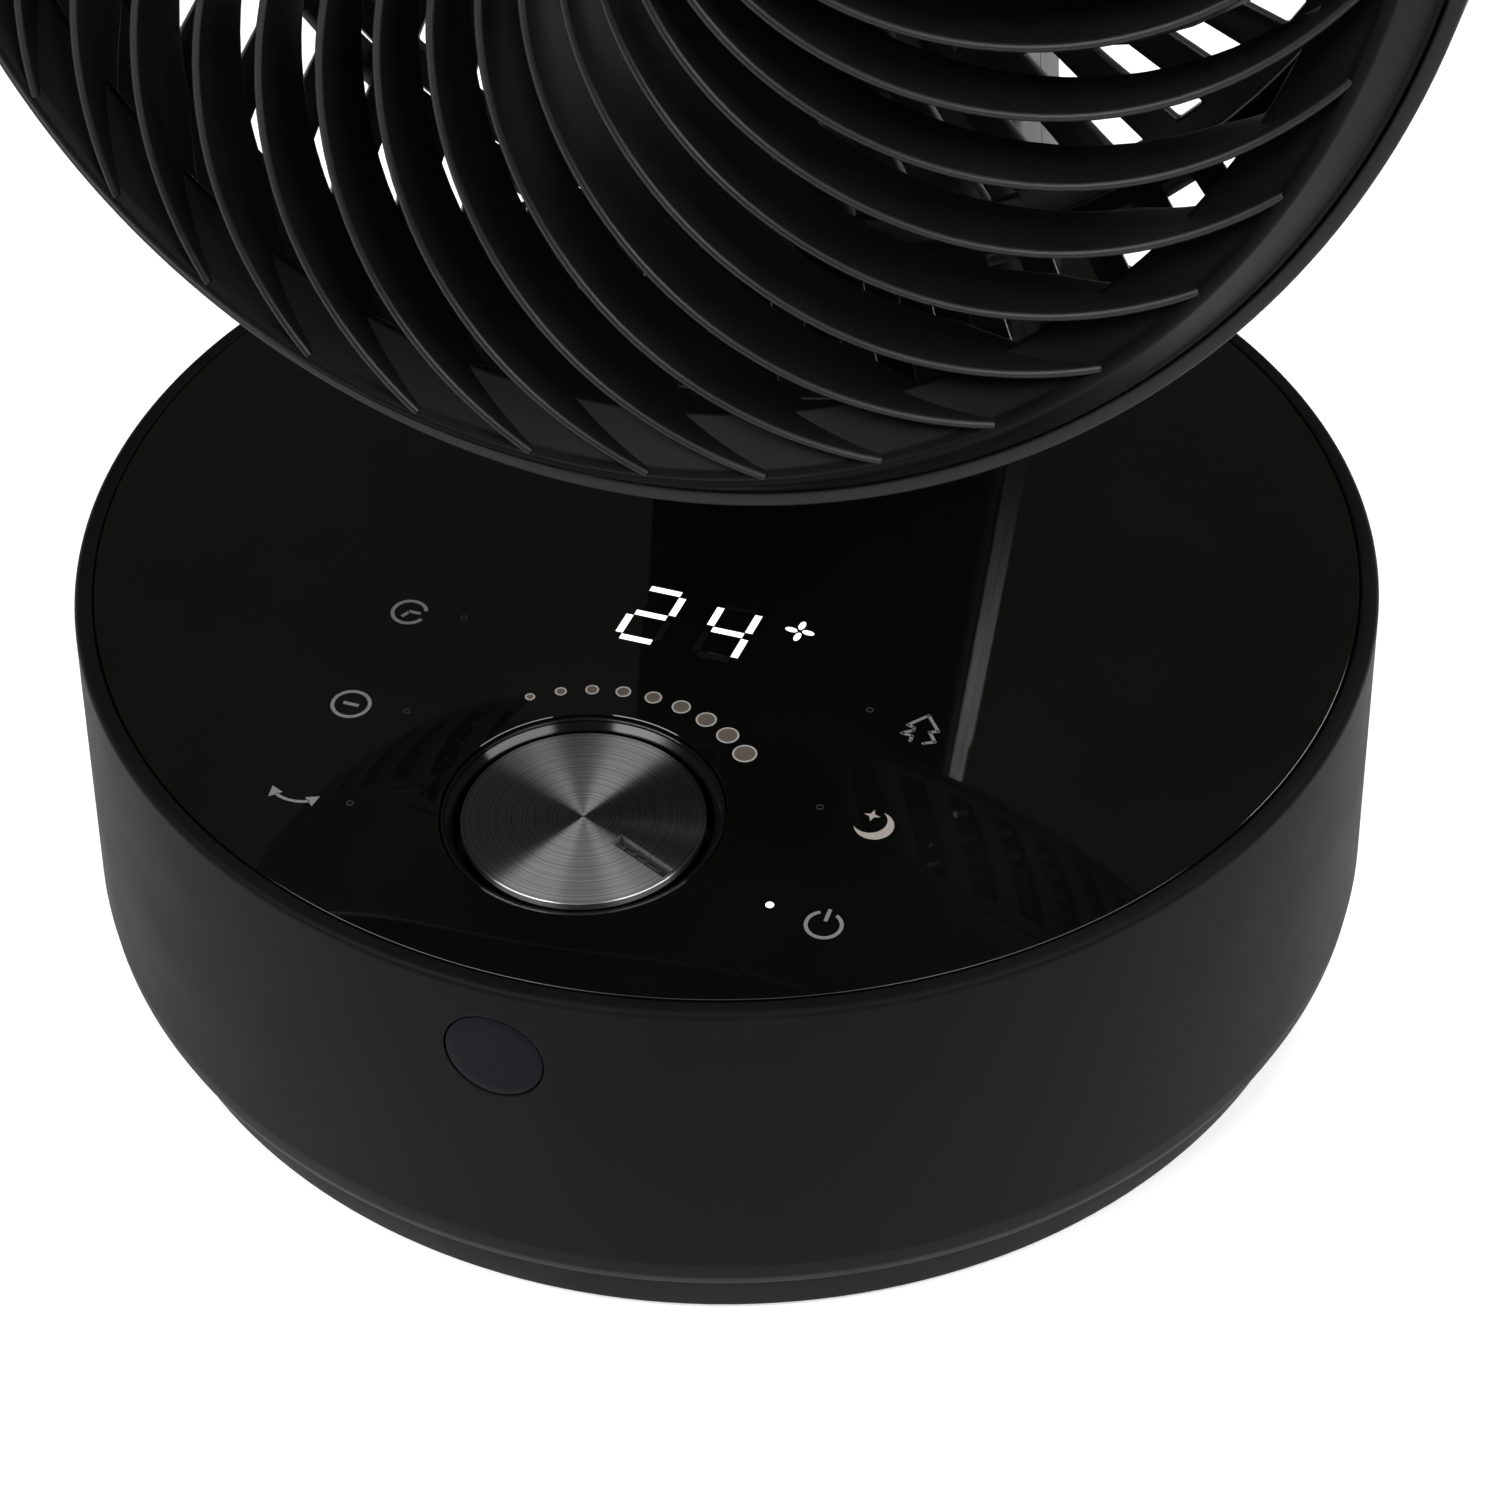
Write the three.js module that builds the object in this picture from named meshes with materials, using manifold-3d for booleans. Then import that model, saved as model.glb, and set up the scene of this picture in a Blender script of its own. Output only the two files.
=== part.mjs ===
// Air circulator fan: a round swinging base with a glass control panel and a knob, a neck that leans
// forward from the back of the base, and a tilting head with a swirl grille in front of the fan.
// Millimetres, +Z up, the front faces -Y, and the origin is the centre of the feet on the ground.
import * as THREE from "three";
import { mergeVertices } from "three/addons/utils/BufferGeometryUtils.js";
import Module from "manifold-3d";

const wasm = await Module();
wasm.setup();

// ---- Clearances -------------------------------------------------------------------------------
const seat = 0.3; // between pieces that rest on or fit in each other
const swingGap = 0.4; // between the still foot and the swinging drum
const runGap = 0.5; // round a turning piece

// ---- Foot, the still part of the base ---------------------------------------------------------
const padHeight = 1;
const padRadius = 8;
const padCount = 5;
const padCircle = 100;
const padRecess = 1;
const footBottomRadius = 122.6;
const footTopRadius = 124.6;
const footHeight = 10.3;
const footFloor = 2.5;
const footWall = 2.5;
const hubRadius = 24;
const hubWall = 5;
const slideRadius = 60;
const slideWidth = 7;
const slideThickness = 1.6;
const ballastInner = 74;
const ballastOuter = 109;
const ballastThickness = 5;
const inletWidth = 11;
const inletDepth = 10.4;
const inletBore = 3.1;
const inletPin = 1;
const inletPinSink = 4.6; // tip of the contact pin behind the open face
const inletBack = 1.2; // material behind the inlet's bore
const inletFace = 123; // how far behind the axis the inlet's open face lies
const inletFloor = 0.4; // underside of the inlet above the underside of the foot

// ---- Drum, the swinging part of the base ------------------------------------------------------
const glassTop = 82; // top of the glass above the ground
const glassThickness = 3;
const glassRadius = 121.5;
const drumTopRadius = 125.3;
const drumWideRadius = 128.3;
const drumWideHeight = 19.5; // where the wall is widest, above the ground
const drumFootRadius = 125.4;
const drumWall = 2.6;
const rimChamfer = 0.8;
const edgeRound = 2.9; // height of the rounded lower edge
const ledgeWidth = 4.8;
const ledgeThickness = 2.5;
const floorThickness = 3;
const floorRecess = 0.3;
const deckThickness = 2.5;
const boardThickness = 1.6;
const boardRadius = 116;
const boardBack = 14; // rear straight edge of the board, behind the axis
const boardGap = 0.5; // air between the board and the glass
const bossRadius = 3.5;
const frontBoss = { x: 60, y: -60 };
const sideBoss = { x: 90, y: 5 };
const displayWidth = 62;
const displayDepth = 24;
const displayThickness = 1.5;
const displayX = 9;
const displayY = -38;
const windowRadius = 9;
const windowThickness = 2;
const windowHeight = 66;
const receiverSize = 7;
const receiverGap = 0.5; // between the receiver and the window

// ---- Swing drive ------------------------------------------------------------------------------
const gearModule = 2;
const gearTeeth = 30;
const pinionTeeth = 12;
const pressureAngle = THREE.MathUtils.degToRad(25);
const toothAddendum = 0.8; // in modules
const toothDedendum = 1.05; // in modules
const backlash = 0.5; // taken off each tooth's width
const gearThickness = 5;
const pinionShaft = 2.5;
const pinionShaftLength = 7;
const retainerThickness = 2;
const retainerLip = 4;
const motorRadius = 13;
const motorHeight = 16;
const motorLift = 1.6; // underside of the swing motor above the gear
const motorEar = 1.5;
const motorPostRadius = 3.5;
const motorPostSpread = 22;

// ---- Knob -------------------------------------------------------------------------------------
const knobFront = 79.7; // knob axis in front of the base axis
const knobCapRadius = 21.9;
const knobCapThickness = 1.4;
const knobCapEdge = 0.3;
const knobSink = 1.2; // top of the knob below the top of the glass
const knobBodyRadius = 21.4;
const knobBodyEdge = 0.6;
const wellRadius = 24.6;
const wellWall = 0.8;
const wellDepth = 8;
const wellFloor = 2;
const wellFlange = 2.8;
const wellFlangeThickness = 1.5;
const encoderShaft = 3;
const encoderShaftLength = 13;
const encoderSize = 13;
const encoderHeight = 6.5;
const pointerInner = 12;
const pointerLength = 9.6;
const pointerWidth = 1.5;
const pointerDepth = 0.9;
const pointerAngle = THREE.MathUtils.degToRad(-26);

// ---- Neck -------------------------------------------------------------------------------------
const neckBack = 89.5; // centre of the neck behind the base axis, at the glass
const neckLean = THREE.MathUtils.degToRad(13.8);
const neckWidth = 80;
const neckDepth = 36;
const neckCorner = 5;
const neckWall = 2.5;
const spineWidth = 50;
const spineDepth = 12;
const spineFlangeWidth = 60;
const spineFlangeDepth = 26;
const spineFlangeThickness = 3;
const spineSlack = 1; // play of the spine in the glass and the deck

// ---- Tilt joint -------------------------------------------------------------------------------
const pivotHeight = 226;
const barrelRadius = 15;
const yokeHalfWidth = 39;
const yokeInner = 17;
const yokeFloorGap = 1.2; // under the knuckle's barrel
const yokeFloor = 2.5; // between that gap and the spine's pocket
const spinePocket = 4; // how far the spine goes into the yoke
const washerThickness = 1.2;
const washerRadius = 12;
const pinRadius = 4;
const pinInset = 1; // ends of the pin inside the yoke's sides
const webSpread = 0.95; // share of the barrel's radius where the web meets it
const knuckleFlange = 5;
const knuckleRise = 30; // top of the knuckle's flange above the tilt axis
const knuckleDrop = 14; // bottom of that flange below the tilt axis
const capRadius = 8.5;
const capThickness = 1.3;
const pivotY = neckBack - Math.tan(neckLean) * (pivotHeight - glassTop);
const spineTop = pivotHeight - barrelRadius - yokeFloorGap - yokeFloor - seat;
const neckShellTop = spineTop - spinePocket;

// ---- Head -------------------------------------------------------------------------------------
const headTilt = THREE.MathUtils.degToRad(10.33); // how far the face looks up at rest
const headFront = 52.5; // centre of the face in front of the base axis
const headHeight = 274.6; // centre of the face above the ground
const vaneCount = 37;
const vaneTipRadius = 121;
const vaneRootRadius = 31;
const vaneThickness = 1.6;
const vaneDepth = 16;
const vaneBends = [0.48, 0.79]; // shares of a vane's length where its outline has a corner
const vanePhase = THREE.MathUtils.degToRad(-142.24);
const vaneSweep = [2.26, 3.3, 4.67, 2.64]; // radians, powers of radius / tip radius - 1
const grilleHubRadius = 24;
const ringRadius = 128.2;
const ringDepth = 10.8;
const ringSkirtDepth = 20;
const ringWall = 2.2;
const funnelRadius = 112;
const funnelDepth = 7.6;
const funnelWall = 1.8;
const shroudStep = 2.95; // the shroud stands proud of the ring by this much
const shroudRadius = ringRadius + shroudStep;
const shroudFront = 11.4; // depth of the shroud's front edge behind the face
const shroudBack = 48;
const shroudWall = 2.6;
const guardTaper = 13.15; // how much the guard narrows toward the back
const guardBackRadius = shroudRadius - guardTaper;
const guardBack = 84;
const guardSlots = 36;
const guardRim = 4; // width of the closed rims beside the slots
const guardBend = 0.6; // share of the guard's depth where its bars have a corner
const grilleSlots = 36;
const grilleBack = 91; // depth of the rear grille's flat back
const grilleCornerRadius = 111;
const grilleMiddleRadius = 85.5;
const grilleMiddleWidth = 5;
const grilleInnerWidth = 4.5;
const grilleThickness = 3;
const grilleCrown = 1.5; // how far the back stands proud of the slots' outer end
const grilleLap = 0.6; // how far the grille's rim is thinned behind the guard
const slotSweep = 0.17; // degrees of sweep for each millimetre outwards
const barShare = 0.46; // share of the pitch that a bar takes
const centreCapRadius = 30;
const centreCapThickness = 2.6;
const centreCapSpigot = 8;

// ---- Fan and motor ----------------------------------------------------------------------------
const coverRadius = 48.2;
const coverFront = 60;
const coverBack = 95;
const coverWall = 3;
const coverChamfer = 4;
const coverRelief = 2;
const bellFront = 58;
const bellSkirt = 14;
const bellWall = 2.5;
const bearingRadius = 11;
const bearingWidth = 5;
const shaftRadius = 4;
const shaftFront = 29;
const rotorRadius = 18;
const airGap = 0.8;
const statorFront = 67.5;
const statorBack = 84;
const bladeCount = 5;
const bladeTip = 103;
const bladeRoot = 26;
const bladePhase = THREE.MathUtils.degToRad(29);
const bladeSweep = 0.55; // radians from root to tip
const bladeHalfRoot = 0.42; // half the angle that a blade spans at its root
const bladeHalfTip = 0.25;
const bladeBends = [0, 0.31, 0.68, 1]; // shares of a blade's length where its outline has a corner
const bladeRiseRoot = 0.5; // share of the fan's depth that each half of a blade climbs
const bladeRiseTip = 0.36;
const bladeCamber = 2;
const bladeThickness = 2.2;
const bladeFront = 32;
const bladeBack = 55;
const bladeHubRadius = 28;
const bladeHubFront = 34;
const bladeHubBack = 56;
const bladeHubWall = 2.6;
const nutRadius = 9;
const nutThickness = 4;

// ---- Heights worked out from the sizes above --------------------------------------------------
const footTop = padHeight + footHeight;
const footFloorTop = padHeight + footFloor;
const drumBottom = footTop + swingGap;
const floorBottom = drumBottom + floorRecess;
const floorTop = floorBottom + floorThickness;
const slideTop = floorBottom - seat;
const gearBottom = floorTop + runGap;
const gearTop = gearBottom + gearThickness;
const gearDistance = (gearModule * (gearTeeth + pinionTeeth)) / 2;
const glassBottom = glassTop - glassThickness;
const ledgeTop = glassBottom - seat;
const deckTop = ledgeTop - ledgeThickness - seat;
const boardTop = glassBottom - boardGap;
const boardBottom = boardTop - boardThickness;

// ---- Finishes ---------------------------------------------------------------------------------
const finish = (color, roughness, metalness) => ({ color, roughness, metalness });
const satinBlack = finish(0x161617, 0.5, 0);
const darkPlastic = finish(0x0c0c0d, 0.4, 0);
const glossBlack = finish(0x030303, 0.05, 0);
const spunAluminium = finish(0xa8a8aa, 0.3, 1);
const steel = finish(0x8c8f92, 0.35, 1);
const rubber = finish(0x101010, 0.9, 0);
const whiteNylon = finish(0xe4e2dc, 0.5, 0);
const circuitGreen = finish(0x1d4a2c, 0.5, 0);
const smokedLens = finish(0x0a0a12, 0.15, 0);

// ---- Building blocks --------------------------------------------------------------------------
function solidFrom(geometry) {
  const bare = geometry.index ? geometry.toNonIndexed() : geometry.clone();
  bare.deleteAttribute("normal");
  bare.deleteAttribute("uv");
  const merged = mergeVertices(bare, 1e-4);
  const vertProperties = merged.attributes.position.array;
  const triVerts = new Uint32Array(merged.index.array);
  return new wasm.Manifold(new wasm.Mesh({ numProp: 3, vertProperties, triVerts }));
}

function geometryFrom(solid) {
  const mesh = solid.getMesh();
  const geometry = new THREE.BufferGeometry();
  geometry.setAttribute("position", new THREE.BufferAttribute(new Float32Array(mesh.vertProperties), 3));
  geometry.setIndex(new THREE.BufferAttribute(new Uint32Array(mesh.triVerts), 1));
  return geometry;
}

function join(...geometries) {
  return geometryFrom(geometries.map(solidFrom).reduce((whole, piece) => whole.add(piece)));
}

function cut(geometry, ...tools) {
  return geometryFrom(tools.map(solidFrom).reduce((whole, tool) => whole.subtract(tool), solidFrom(geometry)));
}

function common(first, second) {
  return geometryFrom(solidFrom(first).intersect(solidFrom(second)));
}

// A profile of [radius, height] corners turned about the Z axis. It closes on itself.
function turned(profile, segments) {
  const points = profile.map(([radius, height]) => new THREE.Vector2(radius, height));
  if (THREE.ShapeUtils.isClockWise(points)) points.reverse();
  const onAxis = points.filter((point) => point.x === 0).length;
  if (onAxis === 0) {
    points.push(points[0].clone());
  } else {
    while (points[0].x !== 0 || points[points.length - 1].x !== 0) points.push(points.shift());
  }
  return new THREE.LatheGeometry(points, segments).rotateX(Math.PI / 2);
}

function ring(inner, outer, bottom, top, segments) {
  return turned([[inner, bottom], [outer, bottom], [outer, top], [inner, top]], segments);
}

function disc(radius, bottom, top, segments) {
  return turned([[0, bottom], [radius, bottom], [radius, top], [0, top]], segments);
}

function block(sizeX, sizeY, sizeZ, x = 0, y = 0, z = 0) {
  return new THREE.BoxGeometry(sizeX, sizeY, sizeZ).translate(x, y, z);
}

// A cylinder between two places on the X axis.
function rodX(radius, from, to, segments) {
  const rod = new THREE.CylinderGeometry(radius, radius, to - from, segments);
  return rod.rotateZ(Math.PI / 2).translate((from + to) / 2, 0, 0);
}

function plate(shape, bottom, top, curveSegments = 8) {
  const depth = top - bottom;
  const options = { depth, bevelEnabled: false, curveSegments };
  return new THREE.ExtrudeGeometry(shape, options).translate(0, 0, bottom);
}

function roundedRectangle(width, depth, corner) {
  const shape = new THREE.Shape();
  const x = width / 2 - corner;
  const y = depth / 2 - corner;
  shape.absarc(x, -y, corner, -Math.PI / 2, 0);
  shape.absarc(x, y, corner, 0, Math.PI / 2);
  shape.absarc(-x, y, corner, Math.PI / 2, Math.PI);
  shape.absarc(-x, -y, corner, Math.PI, 1.5 * Math.PI);
  shape.closePath();
  return shape;
}

// Leans a piece that was drawn round the Z axis, so that it follows the neck.
function leaned(geometry) {
  const lean = new THREE.Matrix4();
  lean.makeShear(0, 0, 0, 0, 0, -Math.tan(neckLean));
  const toGlass = new THREE.Matrix4().makeTranslation(0, 0, -glassTop);
  const toNeck = new THREE.Matrix4().makeTranslation(0, neckBack, glassTop);
  return geometry.applyMatrix4(toGlass).applyMatrix4(lean).applyMatrix4(toNeck);
}

// A shell of revolution whose bars stand between closed rims. Each station has an outer and an inner
// [radius, height], the sweep and half width of its bars as angles, and whether the zone from it to
// the next station is closed.
function slottedShell(stations, bars) {
  const columns = 2 * bars;
  const positions = [];
  const triangles = [];
  for (const station of stations) {
    for (let column = 0; column < columns; column += 1) {
      const side = column % 2 === 0 ? -1 : 1;
      const bar = Math.floor(column / 2);
      const angle = (2 * Math.PI * bar) / bars + station.sweep + side * station.half;
      for (const [radius, height] of [station.outer, station.inner]) {
        positions.push(radius * Math.cos(angle), radius * Math.sin(angle), height);
      }
    }
  }
  const vertex = (row, column, face) => 2 * (row * columns + ((column + columns) % columns)) + face;
  const solidAt = (row, column) => {
    if (row < 0 || row > stations.length - 2) return false;
    return stations[row].closed || (column + columns) % 2 === 0;
  };
  const quad = (a, b, c, d) => triangles.push(a, b, c, a, c, d);
  for (let row = 0; row < stations.length - 1; row += 1) {
    for (let column = 0; column < columns; column += 1) {
      if (!solidAt(row, column)) continue;
      const corner = (down, right, face) => vertex(row + down, column + right, face);
      quad(corner(0, 0, 0), corner(1, 0, 0), corner(1, 1, 0), corner(0, 1, 0));
      quad(corner(0, 0, 1), corner(0, 1, 1), corner(1, 1, 1), corner(1, 0, 1));
      if (!solidAt(row - 1, column)) quad(corner(0, 0, 0), corner(0, 1, 0), corner(0, 1, 1), corner(0, 0, 1));
      if (!solidAt(row + 1, column)) quad(corner(1, 0, 0), corner(1, 0, 1), corner(1, 1, 1), corner(1, 1, 0));
      if (!solidAt(row, column - 1)) quad(corner(0, 0, 0), corner(0, 0, 1), corner(1, 0, 1), corner(1, 0, 0));
      if (!solidAt(row, column + 1)) quad(corner(0, 1, 0), corner(1, 1, 0), corner(1, 1, 1), corner(0, 1, 1));
    }
  }
  const geometry = new THREE.BufferGeometry();
  geometry.setAttribute("position", new THREE.Float32BufferAttribute(positions, 3));
  geometry.setIndex(triangles);
  return geometry;
}

// Closed sections, each a list of Vector3 corners, joined into one body with flat ends.
function lofted(sections) {
  const size = sections[0].length;
  const positions = sections.flat().flatMap((point) => point.toArray());
  const triangles = [];
  for (let row = 0; row < sections.length - 1; row += 1) {
    for (let i = 0; i < size; i += 1) {
      const next = (i + 1) % size;
      const a = row * size + i;
      const b = row * size + next;
      triangles.push(a, b, b + size, a, b + size, a + size);
    }
  }
  const last = (sections.length - 1) * size;
  for (let i = 1; i < size - 1; i += 1) {
    triangles.push(0, i + 1, i, last, last + i, last + i + 1);
  }
  const geometry = new THREE.BufferGeometry();
  geometry.setAttribute("position", new THREE.Float32BufferAttribute(positions, 3));
  geometry.setIndex(triangles);
  return geometry;
}

function addPiece(group, name, geometry, look) {
  const mesh = new THREE.Mesh(geometry, new THREE.MeshStandardMaterial(look));
  mesh.name = name;
  group.add(mesh);
}

// ---- Foot pieces ------------------------------------------------------------------------------
function padPlaces() {
  const places = [];
  for (let i = 0; i < padCount; i += 1) {
    const angle = -Math.PI / 2 + (2 * Math.PI * i) / padCount;
    places.push([padCircle * Math.cos(angle), padCircle * Math.sin(angle)]);
  }
  return places;
}

function footDisc() {
  const ribTop = slideTop - slideThickness - seat;
  const dish = turned([
    [hubRadius - hubWall, padHeight],
    [footBottomRadius, padHeight],
    [footTopRadius, footTop],
    [footTopRadius - footWall, footTop],
    [footTopRadius - footWall, footFloorTop],
    [slideRadius + slideWidth, footFloorTop],
    [slideRadius + slideWidth, ribTop],
    [slideRadius, ribTop],
    [slideRadius, footFloorTop],
    [hubRadius, footFloorTop],
    [hubRadius, gearTop],
    [hubRadius - hubWall, gearTop],
  ], 44);
  const recesses = padPlaces().map(([x, y]) => {
    return disc(padRadius + seat, 0, padHeight + padRecess + seat, 14).translate(x, y, 0);
  });
  const notchDepth = 2 * inletDepth;
  const notchY = inletFace - inletDepth - seat + notchDepth / 2;
  const notch = block(inletWidth + 2 * seat, notchDepth, 4 * footHeight, 0, notchY, 0);
  return cut(dish, ...recesses, notch);
}

function footPad([x, y]) {
  return disc(padRadius, 0, padHeight + padRecess, 14).translate(x, y, 0);
}

function ballastRing() {
  const bottom = footFloorTop + seat;
  return ring(ballastInner, ballastOuter, bottom, bottom + ballastThickness, 32);
}

function slideRing() {
  return ring(slideRadius, slideRadius + slideWidth, slideTop - slideThickness, slideTop, 32);
}

function powerInlet() {
  const bottom = padHeight + inletFloor;
  const height = footTop - inletFloor - bottom;
  const middle = bottom + height / 2;
  const body = block(inletWidth, inletDepth, height, 0, inletFace - inletDepth / 2, middle);
  const boreLength = 2 * (inletDepth - inletBack);
  const bore = new THREE.CylinderGeometry(inletBore, inletBore, boreLength, 20);
  bore.translate(0, inletFace, middle);
  const pinLength = inletDepth - inletBack - inletPinSink;
  const pin = new THREE.CylinderGeometry(inletPin, inletPin, pinLength, 10);
  pin.translate(0, inletFace - inletDepth + inletBack / 2 + pinLength / 2, middle);
  return join(cut(body, bore), pin);
}

// ---- Swing drive pieces -----------------------------------------------------------------------
// Outline of an involute gear whose first tooth points along +X.
function gearShape(teeth) {
  const pitch = (gearModule * teeth) / 2;
  const base = pitch * Math.cos(pressureAngle);
  const tip = pitch + toothAddendum * gearModule;
  const root = pitch - toothDedendum * gearModule;
  const involute = (radius) => {
    const roll = Math.acos(Math.min(1, base / radius));
    return Math.tan(roll) - roll;
  };
  const halfTooth = Math.PI / (2 * teeth) - backlash / (2 * pitch);
  const halfAt = (radius) => halfTooth + involute(pitch) - involute(radius);
  const flank = [root, pitch, tip];
  const points = [];
  for (let tooth = 0; tooth < teeth; tooth += 1) {
    const middle = (2 * Math.PI * tooth) / teeth;
    const place = (radius, side) => {
      const angle = middle + side * halfAt(Math.max(radius, base));
      points.push(new THREE.Vector2(radius * Math.cos(angle), radius * Math.sin(angle)));
    };
    flank.forEach((radius) => place(radius, -1));
    [...flank].reverse().forEach((radius) => place(radius, 1));
  }
  return new THREE.Shape(points);
}

function swingGear() {
  const shape = gearShape(gearTeeth);
  shape.holes.push(new THREE.Path().absarc(0, 0, hubRadius + seat, 0, 2 * Math.PI, true));
  return plate(shape, gearBottom, gearTop, 12);
}

function swingPinion() {
  // A gap of the pinion faces the gear's tooth on +X.
  const turn = Math.PI + Math.PI / pinionTeeth;
  const wheel = plate(gearShape(pinionTeeth), gearBottom, gearTop).rotateZ(turn);
  const shaft = disc(pinionShaft, gearTop - 1, gearTop + pinionShaftLength, 16);
  return join(wheel, shaft).translate(gearDistance, 0, 0);
}

function swingMotor() {
  const bottom = gearTop + motorLift;
  const can = disc(motorRadius, bottom, bottom + motorHeight, 32);
  const earLength = 2 * (motorPostSpread + motorPostRadius);
  const ear = block(2 * motorPostRadius, earLength, motorEar, 0, 0, bottom + motorEar / 2);
  const boreTop = gearTop + pinionShaftLength + runGap;
  const bore = disc(pinionShaft + seat, bottom - 1, boreTop, 16);
  return cut(join(can, ear), bore).translate(gearDistance, 0, 0);
}

function swingRetainer() {
  const bottom = gearTop + seat;
  return ring(hubRadius - hubWall, hubRadius + retainerLip, bottom, bottom + retainerThickness, 24);
}

// ---- Drum pieces ------------------------------------------------------------------------------
// Outer wall of the drum as [radius, height] corners, drawn inwards by an offset.
function drumWallLine(inset) {
  return [
    [drumFootRadius - inset, drumBottom],
    [drumWideRadius - 1 - inset, drumBottom + edgeRound],
    [drumWideRadius - inset, drumWideHeight],
    [drumTopRadius - inset, glassTop - rimChamfer],
  ];
}

// Radius of the drum's outer wall at a height above its widest place.
function drumRadiusAt(height) {
  const share = (height - drumWideHeight) / (glassTop - rimChamfer - drumWideHeight);
  return drumWideRadius + share * (drumTopRadius - drumWideRadius);
}

function windowTool(radius, segments) {
  const reach = 2 * (drumWideRadius - ballastOuter);
  const tool = new THREE.CylinderGeometry(radius, radius, reach, segments);
  return tool.translate(0, -drumWideRadius, windowHeight);
}

function drumShell() {
  const inside = drumWallLine(drumWall);
  const ledgeInner = glassRadius - ledgeWidth;
  const ledgeBottom = ledgeTop - ledgeThickness;
  const lipInner = drumFootRadius - drumWall - seat;
  const underLedge = drumRadiusAt(ledgeBottom) - drumWall;
  const shell = turned([
    ...drumWallLine(0),
    [drumTopRadius - rimChamfer, glassTop],
    [glassRadius + seat, glassTop],
    [glassRadius + seat, ledgeTop],
    [ledgeInner, ledgeTop],
    [ledgeInner, ledgeBottom],
    [underLedge, ledgeBottom],
    [inside[2][0], drumWideHeight],
    [inside[1][0], floorTop + seat],
    [lipInner, floorTop + seat],
    [lipInner, drumBottom],
  ], 52);
  return cut(shell, windowTool(windowRadius + seat, 24));
}

function drumFloor() {
  const radius = drumFootRadius - drumWall - 2 * seat;
  const floor = ring(hubRadius + runGap, radius, floorBottom, floorTop, 40);
  const postTop = gearTop + motorLift - seat;
  const posts = [-1, 1].map((side) => {
    const post = disc(motorPostRadius, floorBottom + 1, postTop, 16);
    return post.translate(gearDistance, side * motorPostSpread, 0);
  });
  return join(floor, ...posts);
}

function holeAt(x, y, radius) {
  return new THREE.Path().absarc(x, y, radius, 0, 2 * Math.PI, true);
}

function slotAt(y, width, depth) {
  const slot = new THREE.Path();
  slot.moveTo(-width / 2, y - depth / 2);
  slot.lineTo(-width / 2, y + depth / 2);
  slot.lineTo(width / 2, y + depth / 2);
  slot.lineTo(width / 2, y - depth / 2);
  slot.closePath();
  return slot;
}

function neckCentreAt(height) {
  return neckBack - Math.tan(neckLean) * (height - glassTop);
}

function panel(radius, bottom, top, knobHole) {
  const shape = new THREE.Shape().absarc(0, 0, radius, 0, 2 * Math.PI);
  shape.holes.push(holeAt(0, -knobFront, knobHole));
  const drift = Math.tan(neckLean) * (top - bottom);
  const slotDepth = spineDepth + drift + 2 * spineSlack;
  shape.holes.push(slotAt(neckCentreAt((top + bottom) / 2), spineWidth + 2 * spineSlack, slotDepth));
  return plate(shape, bottom, top, 20);
}

function glassPanel() {
  return panel(glassRadius, glassBottom, glassTop, wellRadius + wellWall + seat);
}

function topDeck() {
  const radius = drumTopRadius - drumWall - 2 * seat;
  const bottom = deckTop - deckThickness;
  const deck = panel(radius, bottom, deckTop, wellRadius + wellWall + seat);
  const bossTop = boardBottom - seat;
  const bosses = [frontBoss, sideBoss].flatMap(({ x, y }) => [-x, x].map((across) => {
    return disc(bossRadius, bottom + 1, bossTop, 12).translate(across, y, 0);
  }));
  return join(deck, ...bosses);
}

function controlBoard() {
  const edge = Math.asin(boardBack / boardRadius);
  const shape = new THREE.Shape().absarc(0, 0, boardRadius, Math.PI - edge, 2 * Math.PI + edge);
  shape.closePath();
  shape.holes.push(holeAt(0, -knobFront, wellRadius + wellWall + wellFlange + seat));
  const window = new THREE.Path();
  const halfX = displayWidth / 2 + seat;
  const halfY = displayDepth / 2 + seat;
  window.moveTo(displayX - halfX, displayY - halfY);
  window.lineTo(displayX - halfX, displayY + halfY);
  window.lineTo(displayX + halfX, displayY + halfY);
  window.lineTo(displayX + halfX, displayY - halfY);
  window.closePath();
  shape.holes.push(window);
  return plate(shape, boardBottom, boardTop, 16);
}

function displayModule() {
  const middle = glassBottom - seat - displayThickness / 2;
  return block(displayWidth, displayDepth, displayThickness, displayX, displayY, middle);
}

function irWindow() {
  const outer = drumWallLine(0);
  const inner = drumWallLine(windowThickness).reverse();
  const skin = turned([...outer, ...inner], 52);
  return common(skin, windowTool(windowRadius, 24));
}

function irReceiver() {
  const wallTop = drumRadiusAt(windowHeight + receiverSize / 2);
  const wallBottom = drumRadiusAt(windowHeight - receiverSize / 2);
  const windowBack = Math.min(wallTop, wallBottom) - windowThickness;
  const y = -(windowBack - receiverGap - receiverSize / 2);
  return block(receiverSize, receiverSize, receiverSize, 0, y, windowHeight);
}

// ---- Knob pieces ------------------------------------------------------------------------------
const wellTop = glassTop - seat;
const wellFloorTop = glassTop - wellDepth;
const knobBottom = wellFloorTop + runGap;
const knobTop = glassTop - knobSink;
const knobShoulder = knobTop - knobCapThickness - seat;

function pointerTool(inset, bottom, top) {
  const length = pointerLength - 2 * inset;
  const middle = pointerInner + pointerLength / 2;
  const slot = block(length, pointerWidth - 2 * inset, top - bottom, middle, 0, (top + bottom) / 2);
  return slot.rotateZ(pointerAngle);
}

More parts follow.
